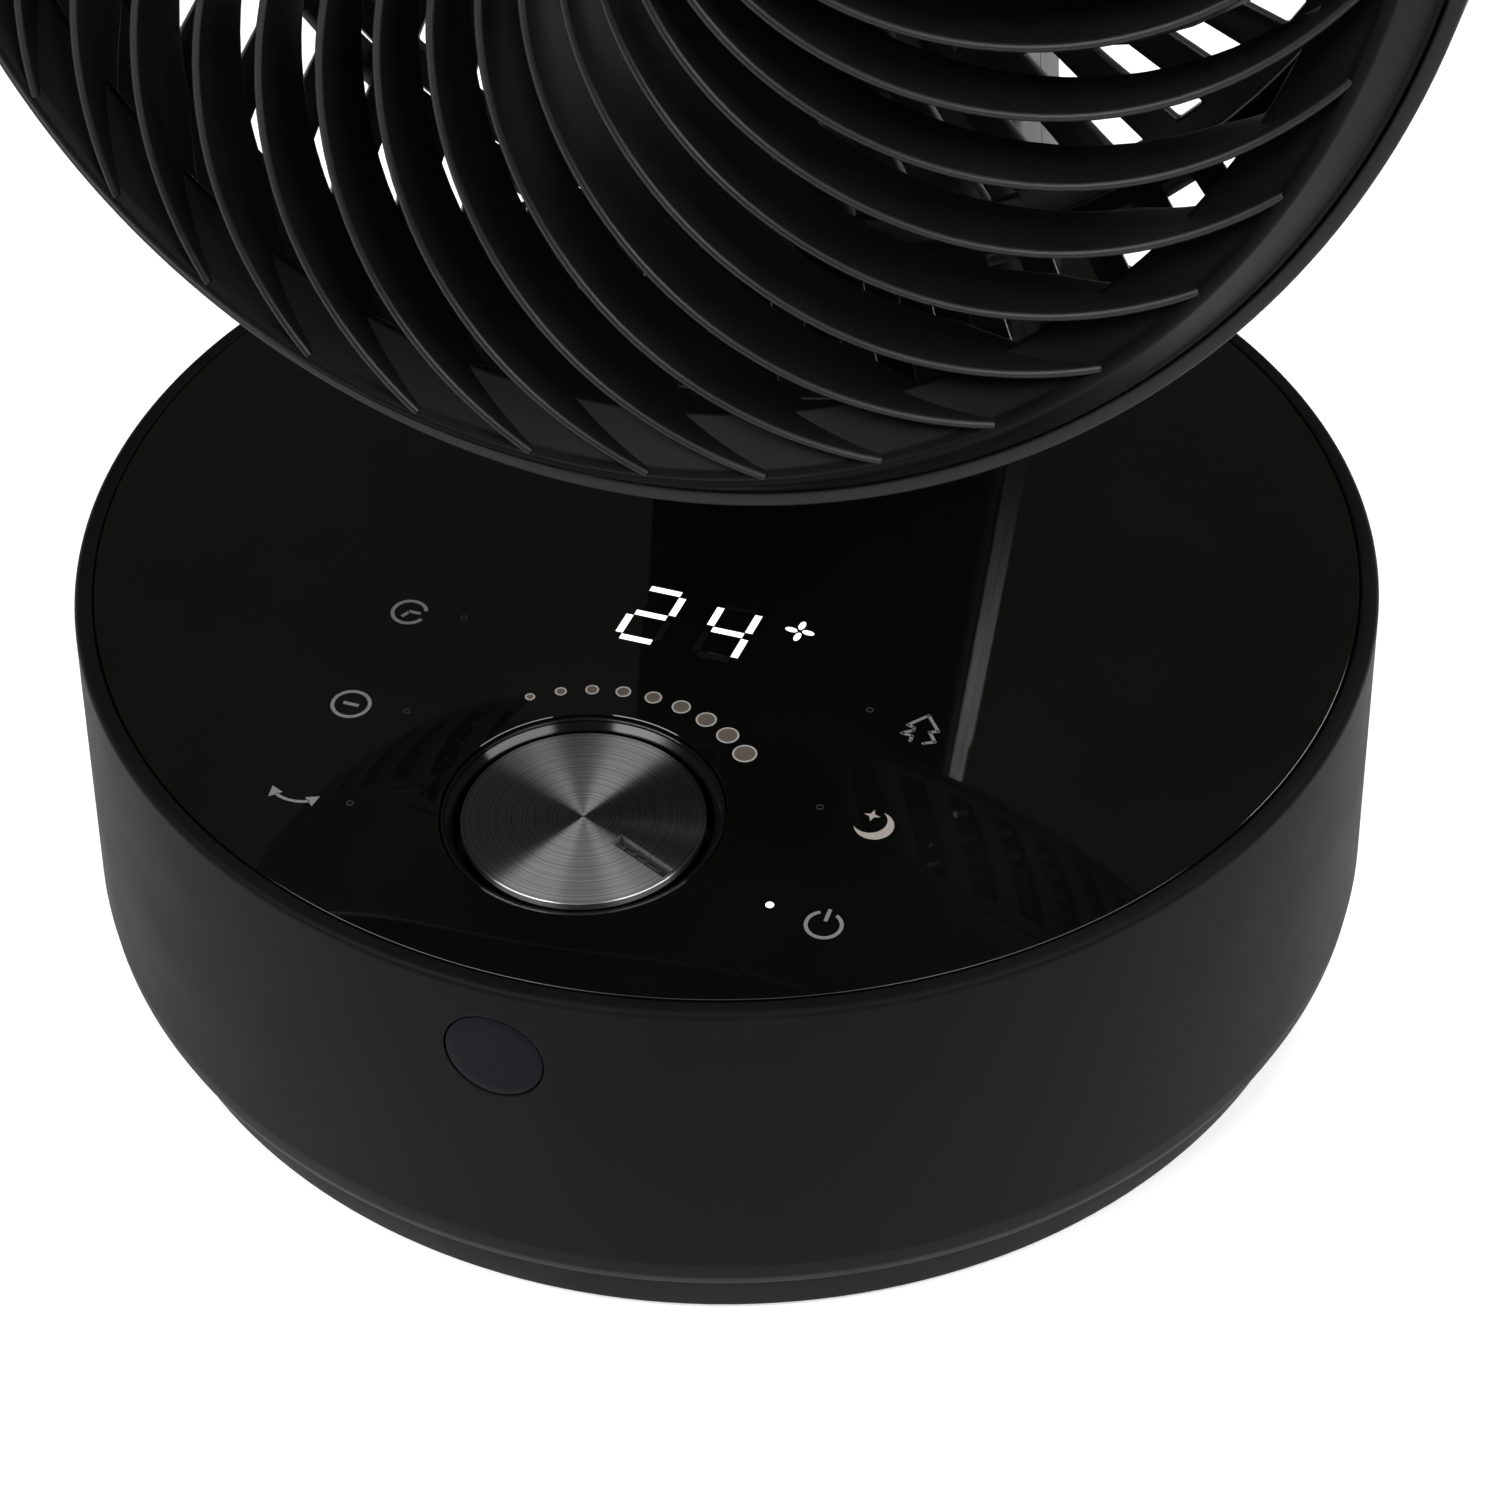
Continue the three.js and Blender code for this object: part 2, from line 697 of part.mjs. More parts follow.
function knobCap() {
  const cap = turned([
    [0, knobShoulder + seat],
    [knobCapRadius, knobShoulder + seat],
    [knobCapRadius, knobTop - knobCapEdge],
    [knobCapRadius - knobCapEdge, knobTop],
    [0, knobTop],
  ], 32);
  const slotted = cut(cap, pointerTool(0, knobTop - pointerDepth, knobTop + 1));
  return slotted.translate(0, -knobFront, 0);
}

function knobPointer() {
  const floor = knobTop - pointerDepth + seat;
  return pointerTool(seat, floor, knobTop - seat).translate(0, -knobFront, 0);
}

function knobBody() {
  const body = turned([
    [encoderShaft + seat, knobBottom],
    [knobBodyRadius, knobBottom],
    [knobBodyRadius, knobShoulder - knobBodyEdge],
    [knobBodyRadius - knobBodyEdge, knobShoulder],
    [encoderShaft + seat, knobShoulder],
  ], 32);
  return body.translate(0, -knobFront, 0);
}

function dialWell() {
  const outer = wellRadius + wellWall;
  const flangeBottom = deckTop + seat;
  const well = turned([
    [encoderShaft + runGap, wellFloorTop - wellFloor],
    [outer, wellFloorTop - wellFloor],
    [outer, flangeBottom],
    [outer + wellFlange, flangeBottom],
    [outer + wellFlange, flangeBottom + wellFlangeThickness],
    [outer, flangeBottom + wellFlangeThickness],
    [outer, wellTop],
    [wellRadius, wellTop],
    [wellRadius, wellFloorTop],
    [encoderShaft + runGap, wellFloorTop],
  ], 28);
  return well.translate(0, -knobFront, 0);
}

function encoderSpindle() {
  const top = knobShoulder - seat;
  return disc(encoderShaft, top - encoderShaftLength, top, 16).translate(0, -knobFront, 0);
}

function encoder() {
  const top = wellFloorTop - wellFloor - seat;
  const body = block(encoderSize, encoderSize, encoderHeight, 0, 0, top - encoderHeight / 2);
  const bore = disc(encoderShaft + seat, top - 2 * encoderHeight, top + 1, 16);
  return cut(body, bore).translate(0, -knobFront, 0);
}

// ---- Neck pieces ------------------------------------------------------------------------------
function neckTube(bottom, top) {
  return leaned(plate(roundedRectangle(neckWidth, neckDepth, neckCorner), bottom, top, 4));
}

function neckShell(side) {
  const outline = roundedRectangle(neckWidth, neckDepth, neckCorner);
  const inside = roundedRectangle(neckWidth - 2 * neckWall, neckDepth - 2 * neckWall, neckCorner - neckWall);
  outline.holes.push(inside);
  const bottom = glassTop + seat;
  const tube = plate(outline, bottom, neckShellTop, 4);
  const y = (side * neckDepth) / 2 + (side * seat) / 2;
  const half = block(2 * neckWidth, neckDepth, 4 * neckShellTop, 0, y, 0);
  return leaned(common(tube, half));
}

function neckSpine() {
  const foot = floorTop + seat;
  const bar = leaned(block(spineWidth, spineDepth, spineTop - foot, 0, 0, (spineTop + foot) / 2));
  const flangeY = neckCentreAt(foot) - spineDepth / 2;
  const flangeZ = foot + spineFlangeThickness / 2;
  return join(bar, block(spineFlangeWidth, spineFlangeDepth, spineFlangeThickness, 0, flangeY, flangeZ));
}

function neckYoke() {
  const bottom = neckShellTop + seat;
  const gapFloor = pivotHeight - barrelRadius - yokeFloorGap;
  const middle = neckCentreAt(bottom);
  const side = new THREE.Shape();
  // Drawn with X as the depth of the object and Y as its height.
  side.moveTo(middle - neckDepth / 2, bottom);
  side.lineTo(middle + neckDepth / 2, bottom);
  side.lineTo(pivotY + barrelRadius, pivotHeight);
  side.absarc(pivotY, pivotHeight, barrelRadius, 0, Math.PI);
  side.closePath();
  const cheeks = new THREE.ExtrudeGeometry(side, {
    depth: 2 * yokeHalfWidth,
    bevelEnabled: false,
    curveSegments: 9,
  });
  // Turns the drawing so that it stands on Z and its thickness runs along X.
  cheeks.applyMatrix4(new THREE.Matrix4().set(0, 0, 1, -yokeHalfWidth, 1, 0, 0, 0, 0, 1, 0, 0, 0, 0, 0, 1));
  const gapHeight = 4 * barrelRadius;
  const gap = block(2 * yokeInner, 4 * neckDepth, gapHeight, 0, pivotY, gapFloor + gapHeight / 2);
  const pocketHeight = 2 * (spineTop + seat - bottom);
  const pocket = leaned(block(spineWidth + 2 * seat, spineDepth + 2 * seat, pocketHeight, 0, 0, bottom));
  const bore = rodX(pinRadius + seat, -neckWidth, neckWidth, 16).translate(0, pivotY, pivotHeight);
  const trimmed = common(cheeks, neckTube(bottom - 1, pivotHeight + 2 * barrelRadius));
  return cut(trimmed, gap, pocket, bore);
}

function tiltPin() {
  const half = yokeHalfWidth - pinInset;
  return rodX(pinRadius, -half, half, 20).translate(0, pivotY, pivotHeight);
}

function tiltWasher(side) {
  const outer = yokeInner - seat;
  const washer = rodX(washerRadius, outer - washerThickness, outer, 18);
  const bore = rodX(pinRadius + seat, outer - 2 * washerThickness, outer + washerThickness, 16);
  return cut(washer, bore).rotateZ(side > 0 ? 0 : Math.PI).translate(0, pivotY, pivotHeight);
}

function pivotCap(side) {
  const inner = yokeHalfWidth + seat;
  const cap = rodX(capRadius, inner, inner + capThickness, 18);
  return cap.rotateZ(side > 0 ? 0 : Math.PI).translate(0, pivotY, pivotHeight);
}

// ---- Head pieces, drawn with the face on the XY plane looking along +Z ------------------------
// The tilt axis in the head's own frame: how far behind the face, and how far up.
const pivotDepth =
  (pivotY + headFront) * Math.cos(headTilt) - (pivotHeight - headHeight) * Math.sin(headTilt);
const pivotUp = (pivotY + headFront) * Math.sin(headTilt) + (pivotHeight - headHeight) * Math.cos(headTilt);

function sweepAt(radius) {
  const x = radius / vaneTipRadius - 1;
  return vaneSweep.reduce((angle, factor, power) => angle + factor * x ** (power + 1), 0);
}

// Half the angle that a bar of a given thickness takes when it runs aslant.
function halfBar(radius, thickness, slope) {
  return (thickness * Math.hypot(1, radius * slope)) / (2 * radius);
}

function vaneStation(radius, front, back, closed) {
  const step = 0.01;
  const slope = (sweepAt(radius + step) - sweepAt(radius - step)) / (2 * step);
  const half = halfBar(radius, vaneThickness, slope);
  return {
    outer: [radius, front],
    inner: [radius, back],
    sweep: vanePhase + sweepAt(radius),
    half,
    closed,
  };
}

function frontGrille() {
  const last = vaneTipRadius - 1;
  const stations = [
    vaneStation(grilleHubRadius, -seat, -vaneDepth, true),
    vaneStation(vaneRootRadius, -seat, -vaneDepth, false),
    ...vaneBends.map((share) => {
      const radius = THREE.MathUtils.lerp(vaneRootRadius, vaneTipRadius, share);
      return vaneStation(radius, -seat, -vaneDepth, false);
    }),
    vaneStation(last, -seat, -ringDepth / 2, false),
  ];
  const swirl = slottedShell(stations, vaneCount);
  const skirtOuter = ringRadius - 1;
  const rim = turned([
    [vaneTipRadius, 0],
    [ringRadius, -ringDepth],
    [skirtOuter, -ringDepth - ringWall],
    [skirtOuter, -ringSkirtDepth],
    [skirtOuter - ringWall, -ringSkirtDepth],
    [vaneTipRadius, -2 * funnelWall],
    [funnelRadius, -funnelDepth],
  ], 56);
  return join(rim, swirl);
}

function centreCap() {
  return turned([
    [0, centreCapThickness],
    [centreCapRadius * 0.6, centreCapThickness * 0.9],
    [centreCapRadius, centreCapThickness * 0.3],
    [centreCapRadius, 0],
    [grilleHubRadius - seat, 0],
    [grilleHubRadius - seat, -centreCapSpigot],
    [grilleHubRadius - seat - ringWall, -centreCapSpigot],
    [grilleHubRadius - seat - ringWall, 0],
    [0, 0],
  ], 24);
}

function shroud() {
  const inner = ringRadius - 1 + seat;
  return turned([
    [ringRadius + seat, -shroudFront],
    [shroudRadius, -shroudFront],
    [shroudRadius, -shroudBack],
    [shroudRadius - shroudWall, -shroudBack],
    [inner, -ringSkirtDepth - 5],
    [inner, -ringDepth - ringWall - seat],
    [ringRadius + seat, -ringDepth - ringWall - seat],
  ], 56);
}

function guardStation(share, closed) {
  const front = shroudBack + seat;
  const depth = front + share * (guardBack - front);
  const radius = shroudRadius + (guardBackRadius - shroudRadius) * share ** 1.6;
  return {
    outer: [radius, -depth],
    inner: [radius - shroudWall, -depth],
    sweep: THREE.MathUtils.degToRad(slotSweep * (guardBack - depth)),
    half: (barShare * Math.PI) / guardSlots,
    closed,
  };
}

function rearGuard() {
  const rim = guardRim / (guardBack - shroudBack);
  const stations = [
    guardStation(0, true),
    guardStation(rim, false),
    guardStation(guardBend, false),
    guardStation(1 - rim, true),
    guardStation(1, false),
  ];
  return slottedShell(stations, guardSlots);
}

function grilleStation(radius, depth, closed) {
  return {
    outer: [radius, -depth + grilleThickness],
    inner: [radius, -depth],
    sweep: THREE.MathUtils.degToRad(slotSweep * radius),
    half: (barShare * Math.PI) / grilleSlots,
    closed,
  };
}

function rearGrille() {
  const inner = coverRadius + seat;
  const middle = grilleMiddleWidth / 2;
  const edge = guardBackRadius - shroudWall;
  const stations = [
    grilleStation(inner, grilleBack, true),
    grilleStation(inner + grilleInnerWidth, grilleBack, false),
    grilleStation(grilleMiddleRadius - middle, grilleBack, true),
    grilleStation(grilleMiddleRadius + middle, grilleBack, false),
    grilleStation(grilleCornerRadius, grilleBack - grilleCrown, true),
    grilleStation(edge, guardBack + grilleThickness + seat, false),
  ];
  // The corner rim reaches under the guard's rear rim, which it is screwed to.
  const corner = stations[stations.length - 1];
  corner.outer = [edge, -guardBack - seat];
  corner.inner = [guardBackRadius - 1, -guardBack - grilleThickness + grilleLap];
  return slottedShell(stations, grilleSlots);
}

function motorCover() {
  const back = -coverBack;
  const inside = coverRadius - coverWall;
  const socket = bearingRadius + seat;
  const socketFront = back + coverWall + bearingWidth + seat;
  return turned([
    [0, back],
    [coverRadius - coverChamfer, back],
    [coverRadius, back + coverChamfer],
    [coverRadius, -coverFront],
    [inside, -coverFront],
    [inside, back + coverChamfer + 1],
    [inside - coverRelief, back + coverWall],
    [socket + coverWall, back + coverWall],
    [socket + coverWall, socketFront],
    [socket, socketFront],
    [socket, back + coverWall],
    [0, back + coverWall],
  ], 24);
}

function motorBell() {
  const outer = coverRadius - coverWall - seat;
  const front = -bellFront;
  const plateBack = front - coverWall;
  const socket = bearingRadius + seat;
  return turned([
    [shaftRadius + 2, front],
    [outer, front],
    [outer, front - bellSkirt],
    [outer - bellWall, front - bellSkirt],
    [outer - bellWall, plateBack],
    [socket + coverWall, plateBack],
    [socket + coverWall, plateBack - bearingWidth],
    [socket, plateBack - bearingWidth],
    [socket, plateBack],
    [shaftRadius + 2, plateBack],
  ], 24);
}

function bearing(front) {
  return ring(shaftRadius + seat, bearingRadius, -front - bearingWidth + seat, -front, 16);
}

function stator() {
  const outer = coverRadius - coverWall - seat - bellWall - seat;
  return ring(rotorRadius + airGap, outer, -statorBack, -statorFront, 24);
}

function rotor() {
  return ring(shaftRadius + seat, rotorRadius, -statorBack, -statorFront, 20);
}

function motorShaft() {
  const back = coverBack - coverWall - seat;
  return disc(shaftRadius, -back, -shaftFront, 16);
}

function bladeSection(share) {
  const radius = THREE.MathUtils.lerp(bladeRoot, bladeTip, share);
  const sweep = bladeSweep * share * share;
  const halfAngle = THREE.MathUtils.lerp(bladeHalfRoot, bladeHalfTip, share);
  const rise = THREE.MathUtils.lerp(bladeRiseRoot, bladeRiseTip, share) * (bladeBack - bladeFront);
  const middle = -(bladeFront + bladeBack) / 2;
  const corners = [];
  for (const face of [1, -1]) {
    for (const step of [-1, 0, 1]) {
      const along = face * step;
      const camber = (1 - along * along) * bladeCamber;
      const angle = sweep + along * halfAngle;
      const height = middle + along * rise + camber + (face * bladeThickness) / 2;
      corners.push(new THREE.Vector3(radius * Math.cos(angle), radius * Math.sin(angle), height));
    }
  }
  return corners.reverse();
}

function fanBlade() {
  const blade = lofted(bladeBends.map(bladeSection));
  const blades = [];
  for (let i = 0; i < bladeCount; i += 1) {
    blades.push(blade.clone().rotateZ(bladePhase + (2 * Math.PI * i) / bladeCount));
  }
  const bore = shaftRadius + seat;
  const hub = turned([
    [bore, -bladeHubFront],
    [bladeHubRadius - 2, -bladeHubFront],
    [bladeHubRadius, -bladeHubFront - 2],
    [bladeHubRadius, -bladeHubBack],
    [bladeHubRadius - bladeHubWall, -bladeHubBack],
    [bladeHubRadius - bladeHubWall, -bladeHubFront - bladeHubWall],
    [bore + 4, -bladeHubFront - bladeHubWall],
    [bore + 4, -bladeHubBack],
    [bore, -bladeHubBack],
  ], 24);
  const hollow = ring(bore + 4, bladeHubRadius - bladeHubWall, -bladeHubBack - 5,
    -bladeHubFront - bladeHubWall, 24);
  return join(cut(join(...blades), hollow), hub);
}

function bladeNut() {
  const front = bladeHubFront - seat - nutThickness;
  const back = -bladeHubFront + seat;
  return cut(disc(nutRadius, back, -front, 6), disc(shaftRadius + seat, back - 1, 1 - front, 20));
}

function tiltKnuckle() {
  const half = yokeInner - washerThickness - 2 * seat;
  const face = coverBack + seat;
  const back = face + knuckleFlange;
  const webUp = barrelRadius * webSpread;
  const webForward = barrelRadius * Math.sqrt(1 - webSpread ** 2);
  const slope = new THREE.Shape();
  // Drawn with X as the height and Y as the depth towards the front.
  slope.moveTo(pivotUp + knuckleRise, -face);
  slope.lineTo(pivotUp + knuckleRise, -back);
  slope.lineTo(pivotUp + webUp, -pivotDepth + webForward);
  slope.lineTo(pivotUp - webUp, -pivotDepth + webForward);
  slope.lineTo(pivotUp - knuckleDrop, -back);
  slope.lineTo(pivotUp - knuckleDrop, -face);
  slope.closePath();
  const web = new THREE.ExtrudeGeometry(slope, { depth: 2 * half, bevelEnabled: false });
  // Turns the drawing so that its thickness runs along X.
  web.applyMatrix4(new THREE.Matrix4().set(0, 0, 1, -half, 1, 0, 0, 0, 0, 1, 0, 0, 0, 0, 0, 1));
  const barrel = rodX(barrelRadius, -half, half, 20).translate(0, pivotUp, -pivotDepth);
  const bore = rodX(pinRadius + seat, -2 * half, 2 * half, 16).translate(0, pivotUp, -pivotDepth);
  return cut(join(barrel, web), bore);
}

// ---- Assembly ---------------------------------------------------------------------------------
const fan = new THREE.Group();
const base = new THREE.Group();
const neck = new THREE.Group();
const head = new THREE.Group();
head.position.set(0, -headFront, headHeight);
head.rotation.x = Math.PI / 2 - headTilt;
fan.add(base, neck, head);

addPiece(base, "foot_disc", footDisc(), satinBlack);
padPlaces().forEach((place, i) => addPiece(base, `foot_pad_${i + 1}`, footPad(place), rubber));
addPiece(base, "ballast_ring", ballastRing(), steel);
addPiece(base, "slide_ring", slideRing(), whiteNylon);
addPiece(base, "power_inlet", powerInlet(), darkPlastic);
addPiece(base, "swing_gear", swingGear(), whiteNylon);
addPiece(base, "swing_retainer", swingRetainer(), steel);
addPiece(base, "swing_pinion", swingPinion(), whiteNylon);
addPiece(base, "swing_motor", swingMotor(), steel);
addPiece(base, "drum_shell", drumShell(), satinBlack);
addPiece(base, "drum_floor", drumFloor(), darkPlastic);
addPiece(base, "top_deck", topDeck(), darkPlastic);
addPiece(base, "glass_panel", glassPanel(), glossBlack);
addPiece(base, "control_board", controlBoard(), circuitGreen);
addPiece(base, "display_module", displayModule(), whiteNylon);
addPiece(base, "ir_window", irWindow(), smokedLens);
addPiece(base, "ir_receiver", irReceiver(), darkPlastic);
addPiece(base, "encoder", encoder(), darkPlastic);
addPiece(base, "encoder_spindle", encoderSpindle(), steel);
addPiece(base, "dial_well", dialWell(), glossBlack);
addPiece(base, "knob_body", knobBody(), glossBlack);
addPiece(base, "knob_cap", knobCap(), spunAluminium);
addPiece(base, "knob_pointer", knobPointer(), darkPlastic);

addPiece(neck, "neck_front_shell", neckShell(-1), satinBlack);
addPiece(neck, "neck_rear_shell", neckShell(1), satinBlack);
addPiece(neck, "neck_spine", neckSpine(), steel);
addPiece(neck, "neck_yoke", neckYoke(), satinBlack);
addPiece(neck, "tilt_pin", tiltPin(), steel);
addPiece(neck, "tilt_washer_left", tiltWasher(-1), whiteNylon);
addPiece(neck, "tilt_washer_right", tiltWasher(1), whiteNylon);
addPiece(neck, "pivot_cap_left", pivotCap(-1), satinBlack);
addPiece(neck, "pivot_cap_right", pivotCap(1), satinBlack);

addPiece(head, "front_grille", frontGrille(), satinBlack);
addPiece(head, "centre_cap", centreCap(), satinBlack);
addPiece(head, "shroud", shroud(), satinBlack);
addPiece(head, "rear_guard", rearGuard(), satinBlack);
addPiece(head, "rear_grille", rearGrille(), satinBlack);
addPiece(head, "motor_cover", motorCover(), satinBlack);
addPiece(head, "motor_bell", motorBell(), steel);
addPiece(head, "front_bearing", bearing(bellFront + coverWall + seat), steel);
addPiece(head, "rear_bearing", bearing(coverBack - coverWall - bearingWidth), steel);
addPiece(head, "stator", stator(), steel);
addPiece(head, "rotor", rotor(), steel);
addPiece(head, "motor_shaft", motorShaft(), steel);
addPiece(head, "fan_blade", fanBlade(), darkPlastic);
addPiece(head, "blade_nut", bladeNut(), darkPlastic);
addPiece(head, "tilt_knuckle", tiltKnuckle(), satinBlack);

export default fan;
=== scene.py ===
"""Looks of the air circulator fan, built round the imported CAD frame. Metres, front at -Y, +Z up."""
import math

import bmesh
import bpy
import numpy as np
from mathutils import Matrix, Vector


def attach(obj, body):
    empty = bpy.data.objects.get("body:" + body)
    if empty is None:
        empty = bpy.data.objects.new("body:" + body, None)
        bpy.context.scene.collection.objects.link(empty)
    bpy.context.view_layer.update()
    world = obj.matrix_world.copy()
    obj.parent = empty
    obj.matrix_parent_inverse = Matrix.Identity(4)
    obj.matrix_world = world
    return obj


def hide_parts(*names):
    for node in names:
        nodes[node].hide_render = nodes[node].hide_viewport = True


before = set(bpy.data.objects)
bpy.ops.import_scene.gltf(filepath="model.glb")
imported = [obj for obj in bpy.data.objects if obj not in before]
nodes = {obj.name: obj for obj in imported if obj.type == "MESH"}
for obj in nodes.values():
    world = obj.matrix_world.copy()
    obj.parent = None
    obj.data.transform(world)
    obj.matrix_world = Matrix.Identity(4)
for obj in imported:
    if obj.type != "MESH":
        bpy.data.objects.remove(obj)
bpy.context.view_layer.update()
MM = 0.001

# ---- Base ----------------------------------------------------------------------------------------
GLASS_TOP = 82
GLASS_BOTTOM = 79
GLASS_R = 121.5
DRUM_TOP_R = 125.3
DRUM_WIDE_R = 128.3
DRUM_WIDE_Z = 19.5
DRUM_FOOT_R = 125.4
DRUM_BOTTOM = 11.7
FOOT_TOP = 11.3
FOOT_TOP_R = 124.6
FOOT_BOTTOM_R = 122.6
WINDOW_R = 9
WINDOW_Z = 66
KNOB_Y = -79.7
KNOB_R = 21.9
KNOB_TOP = 80.8
WELL_R = 24.6
WELL_FLOOR = 74
BAND_FOOT = 79.75
BAND_RISE = 1.85
RIM_CHAMFER = 0.12
PRINT_THICK = 0.04
DRUM_EDGE_Z = 81.2
WINDOW_THICK = 1.8
BASE_SEGMENTS = 192

# ---- Neck and tilt -------------------------------------------------------------------------------
NECK_Y = 89.5
NECK_SLOPE = math.tan(math.radians(13.8))
NECK_W = 80
NECK_D = 36
NECK_CORNER = 5
NECK_TOP = 203.0

# ---- Head ----------------------------------------------------------------------------------------
TILT = math.radians(10.33)
HEAD_AT = Vector((0, -52.5, 274.6)) * MM
HEAD = Matrix.Translation(HEAD_AT) @ Matrix.Rotation(math.pi / 2 - TILT, 4, "X")
VANES = 37
TIP_R = 121
HUB_R = 31
VANE_PHASE = math.radians(-142.24)
SWEEP = (2.26, 3.3, 4.67, 2.64)
VANE_DEPTH = 16
VANE_HALF = 0.75
RING_R = 128.2
SHROUD_R = 131.15
SHROUD_FRONT = 11.4
SHROUD_BACK = 48
GUARD_R = 118
GUARD_BACK = 84
GUARD_SLOTS = 63
GRILLE_SLOTS = 54
GRILLE_BACK = 91
BLADES = 5
BLADE_PHASE = math.radians(29)
BLADE_ROOT_R = 26.5
BLADE_TIP_R = 103
BLADE_MID_Z = -43.5


# ---- Mesh helpers --------------------------------------------------------------------------------
def linked(name, data):
    obj = bpy.data.objects.new(name, data)
    bpy.context.scene.collection.objects.link(obj)
    return obj


def new_object(name, verts, faces, smooth_angle=35):
    mesh = bpy.data.meshes.new(name)
    mesh.from_pydata([tuple(v) for v in verts], [], faces)
    mesh.update()
    obj = linked(name, mesh)
    if smooth_angle is not None:
        smooth(obj, smooth_angle)
    return obj


def smooth(obj, angle=35):
    mesh = obj.data
    mesh.shade_smooth()
    sharp = mesh.attributes.get("sharp_edge") or mesh.attributes.new("sharp_edge", "BOOLEAN", "EDGE")
    bm = bmesh.new()
    bm.from_mesh(mesh)
    bm.edges.ensure_lookup_table()
    limit = math.radians(angle)
    flags = [e.is_manifold and e.calc_face_angle(0) > limit for e in bm.edges]
    bm.free()
    sharp.data.foreach_set("value", flags)


def apply_modifiers(obj):
    bpy.context.view_layer.update()
    done = obj.evaluated_get(bpy.context.evaluated_depsgraph_get())
    mesh = bpy.data.meshes.new_from_object(done)
    obj.modifiers.clear()
    obj.data = mesh


def lathe(name, profile, segments=BASE_SEGMENTS, closed=True, angle=35):
    """A profile of (radius, height) corners in mm, turned about Z. Radius 0 closes on the axis."""
    verts, faces, rows = [], [], []
    for r, z in profile:
        if r == 0:
            rows.append([len(verts)] * segments)
            verts.append((0, 0, z * MM))
            continue
        start = len(verts)
        for i in range(segments):
            a = 2 * math.pi * i / segments
            verts.append((r * math.cos(a) * MM, r * math.sin(a) * MM, z * MM))
        rows.append([start + i for i in range(segments)])
    count = len(rows) if closed else len(rows) - 1
    for j in range(count):
        low, high = rows[j], rows[(j + 1) % len(rows)]
        for i in range(segments):
            k = (i + 1) % segments
            face = list(dict.fromkeys([low[i], low[k], high[k], high[i]]))
            if len(face) > 2:
                faces.append(face)
    obj = new_object(name, verts, faces, None)
    outward(obj)
    smooth(obj, angle)
    return obj


def outward(obj):
    bm = bmesh.new()
    bm.from_mesh(obj.data)
    bmesh.ops.recalc_face_normals(bm, faces=bm.faces)
    bm.to_mesh(obj.data)
    bm.free()


def rounded(profile, radius, steps=4):
    """Rounds every corner of a closed (radius, height) profile that is off the axis."""
    out = []
    size = len(profile)
    for i, here in enumerate(profile):
        before, after = profile[i - 1], profile[(i + 1) % size]
        p, a, b = (Vector(q).to_2d() for q in (here, before, after))
        if here[0] == 0:
            out.append(tuple(here))
            continue
        u, v = a - p, b - p
        reach = min(radius, 0.45 * u.length, 0.45 * v.length)
        if reach < 1e-4:
            out.append(tuple(here))
            continue
        u, v = u.normalized() * reach, v.normalized() * reach
        for s in range(steps + 1):
            t = s / steps
            q = (p + u) * (1 - t) ** 2 + p * 2 * t * (1 - t) + (p + v) * t ** 2
            out.append((q.x, q.y))
    return out


def outline_rounded(width, depth, corner, steps=8):
    pts = []
    for k, (sx, sy) in enumerate(((1, -1), (1, 1), (-1, 1), (-1, -1))):
        for s in range(steps + 1):
            a = -math.pi / 2 + k * math.pi / 2 + s * math.pi / 2 / steps
            x = sx * (width / 2 - corner) + corner * math.cos(a)
            y = sy * (depth / 2 - corner) + corner * math.sin(a)
            pts.append((x, y))
    return pts


def box_object(name, size, centre):
    bm = bmesh.new()
    bmesh.ops.create_cube(bm, size=1)
    mesh = bpy.data.meshes.new(name)
    bmesh.ops.scale(bm, vec=Vector(size) * MM, verts=bm.verts)
    bmesh.ops.translate(bm, vec=Vector(centre) * MM, verts=bm.verts)
    bm.to_mesh(mesh)
    bm.free()
    return linked(name, mesh)


def cut_away(obj, *tools):
    for tool in tools:
        mod = obj.modifiers.new("cut", "BOOLEAN")
        mod.operation = "DIFFERENCE"
        mod.solver = "EXACT"
        mod.object = tool
    apply_modifiers(obj)
    for tool in tools:
        bpy.data.objects.remove(tool)
    smooth(obj)


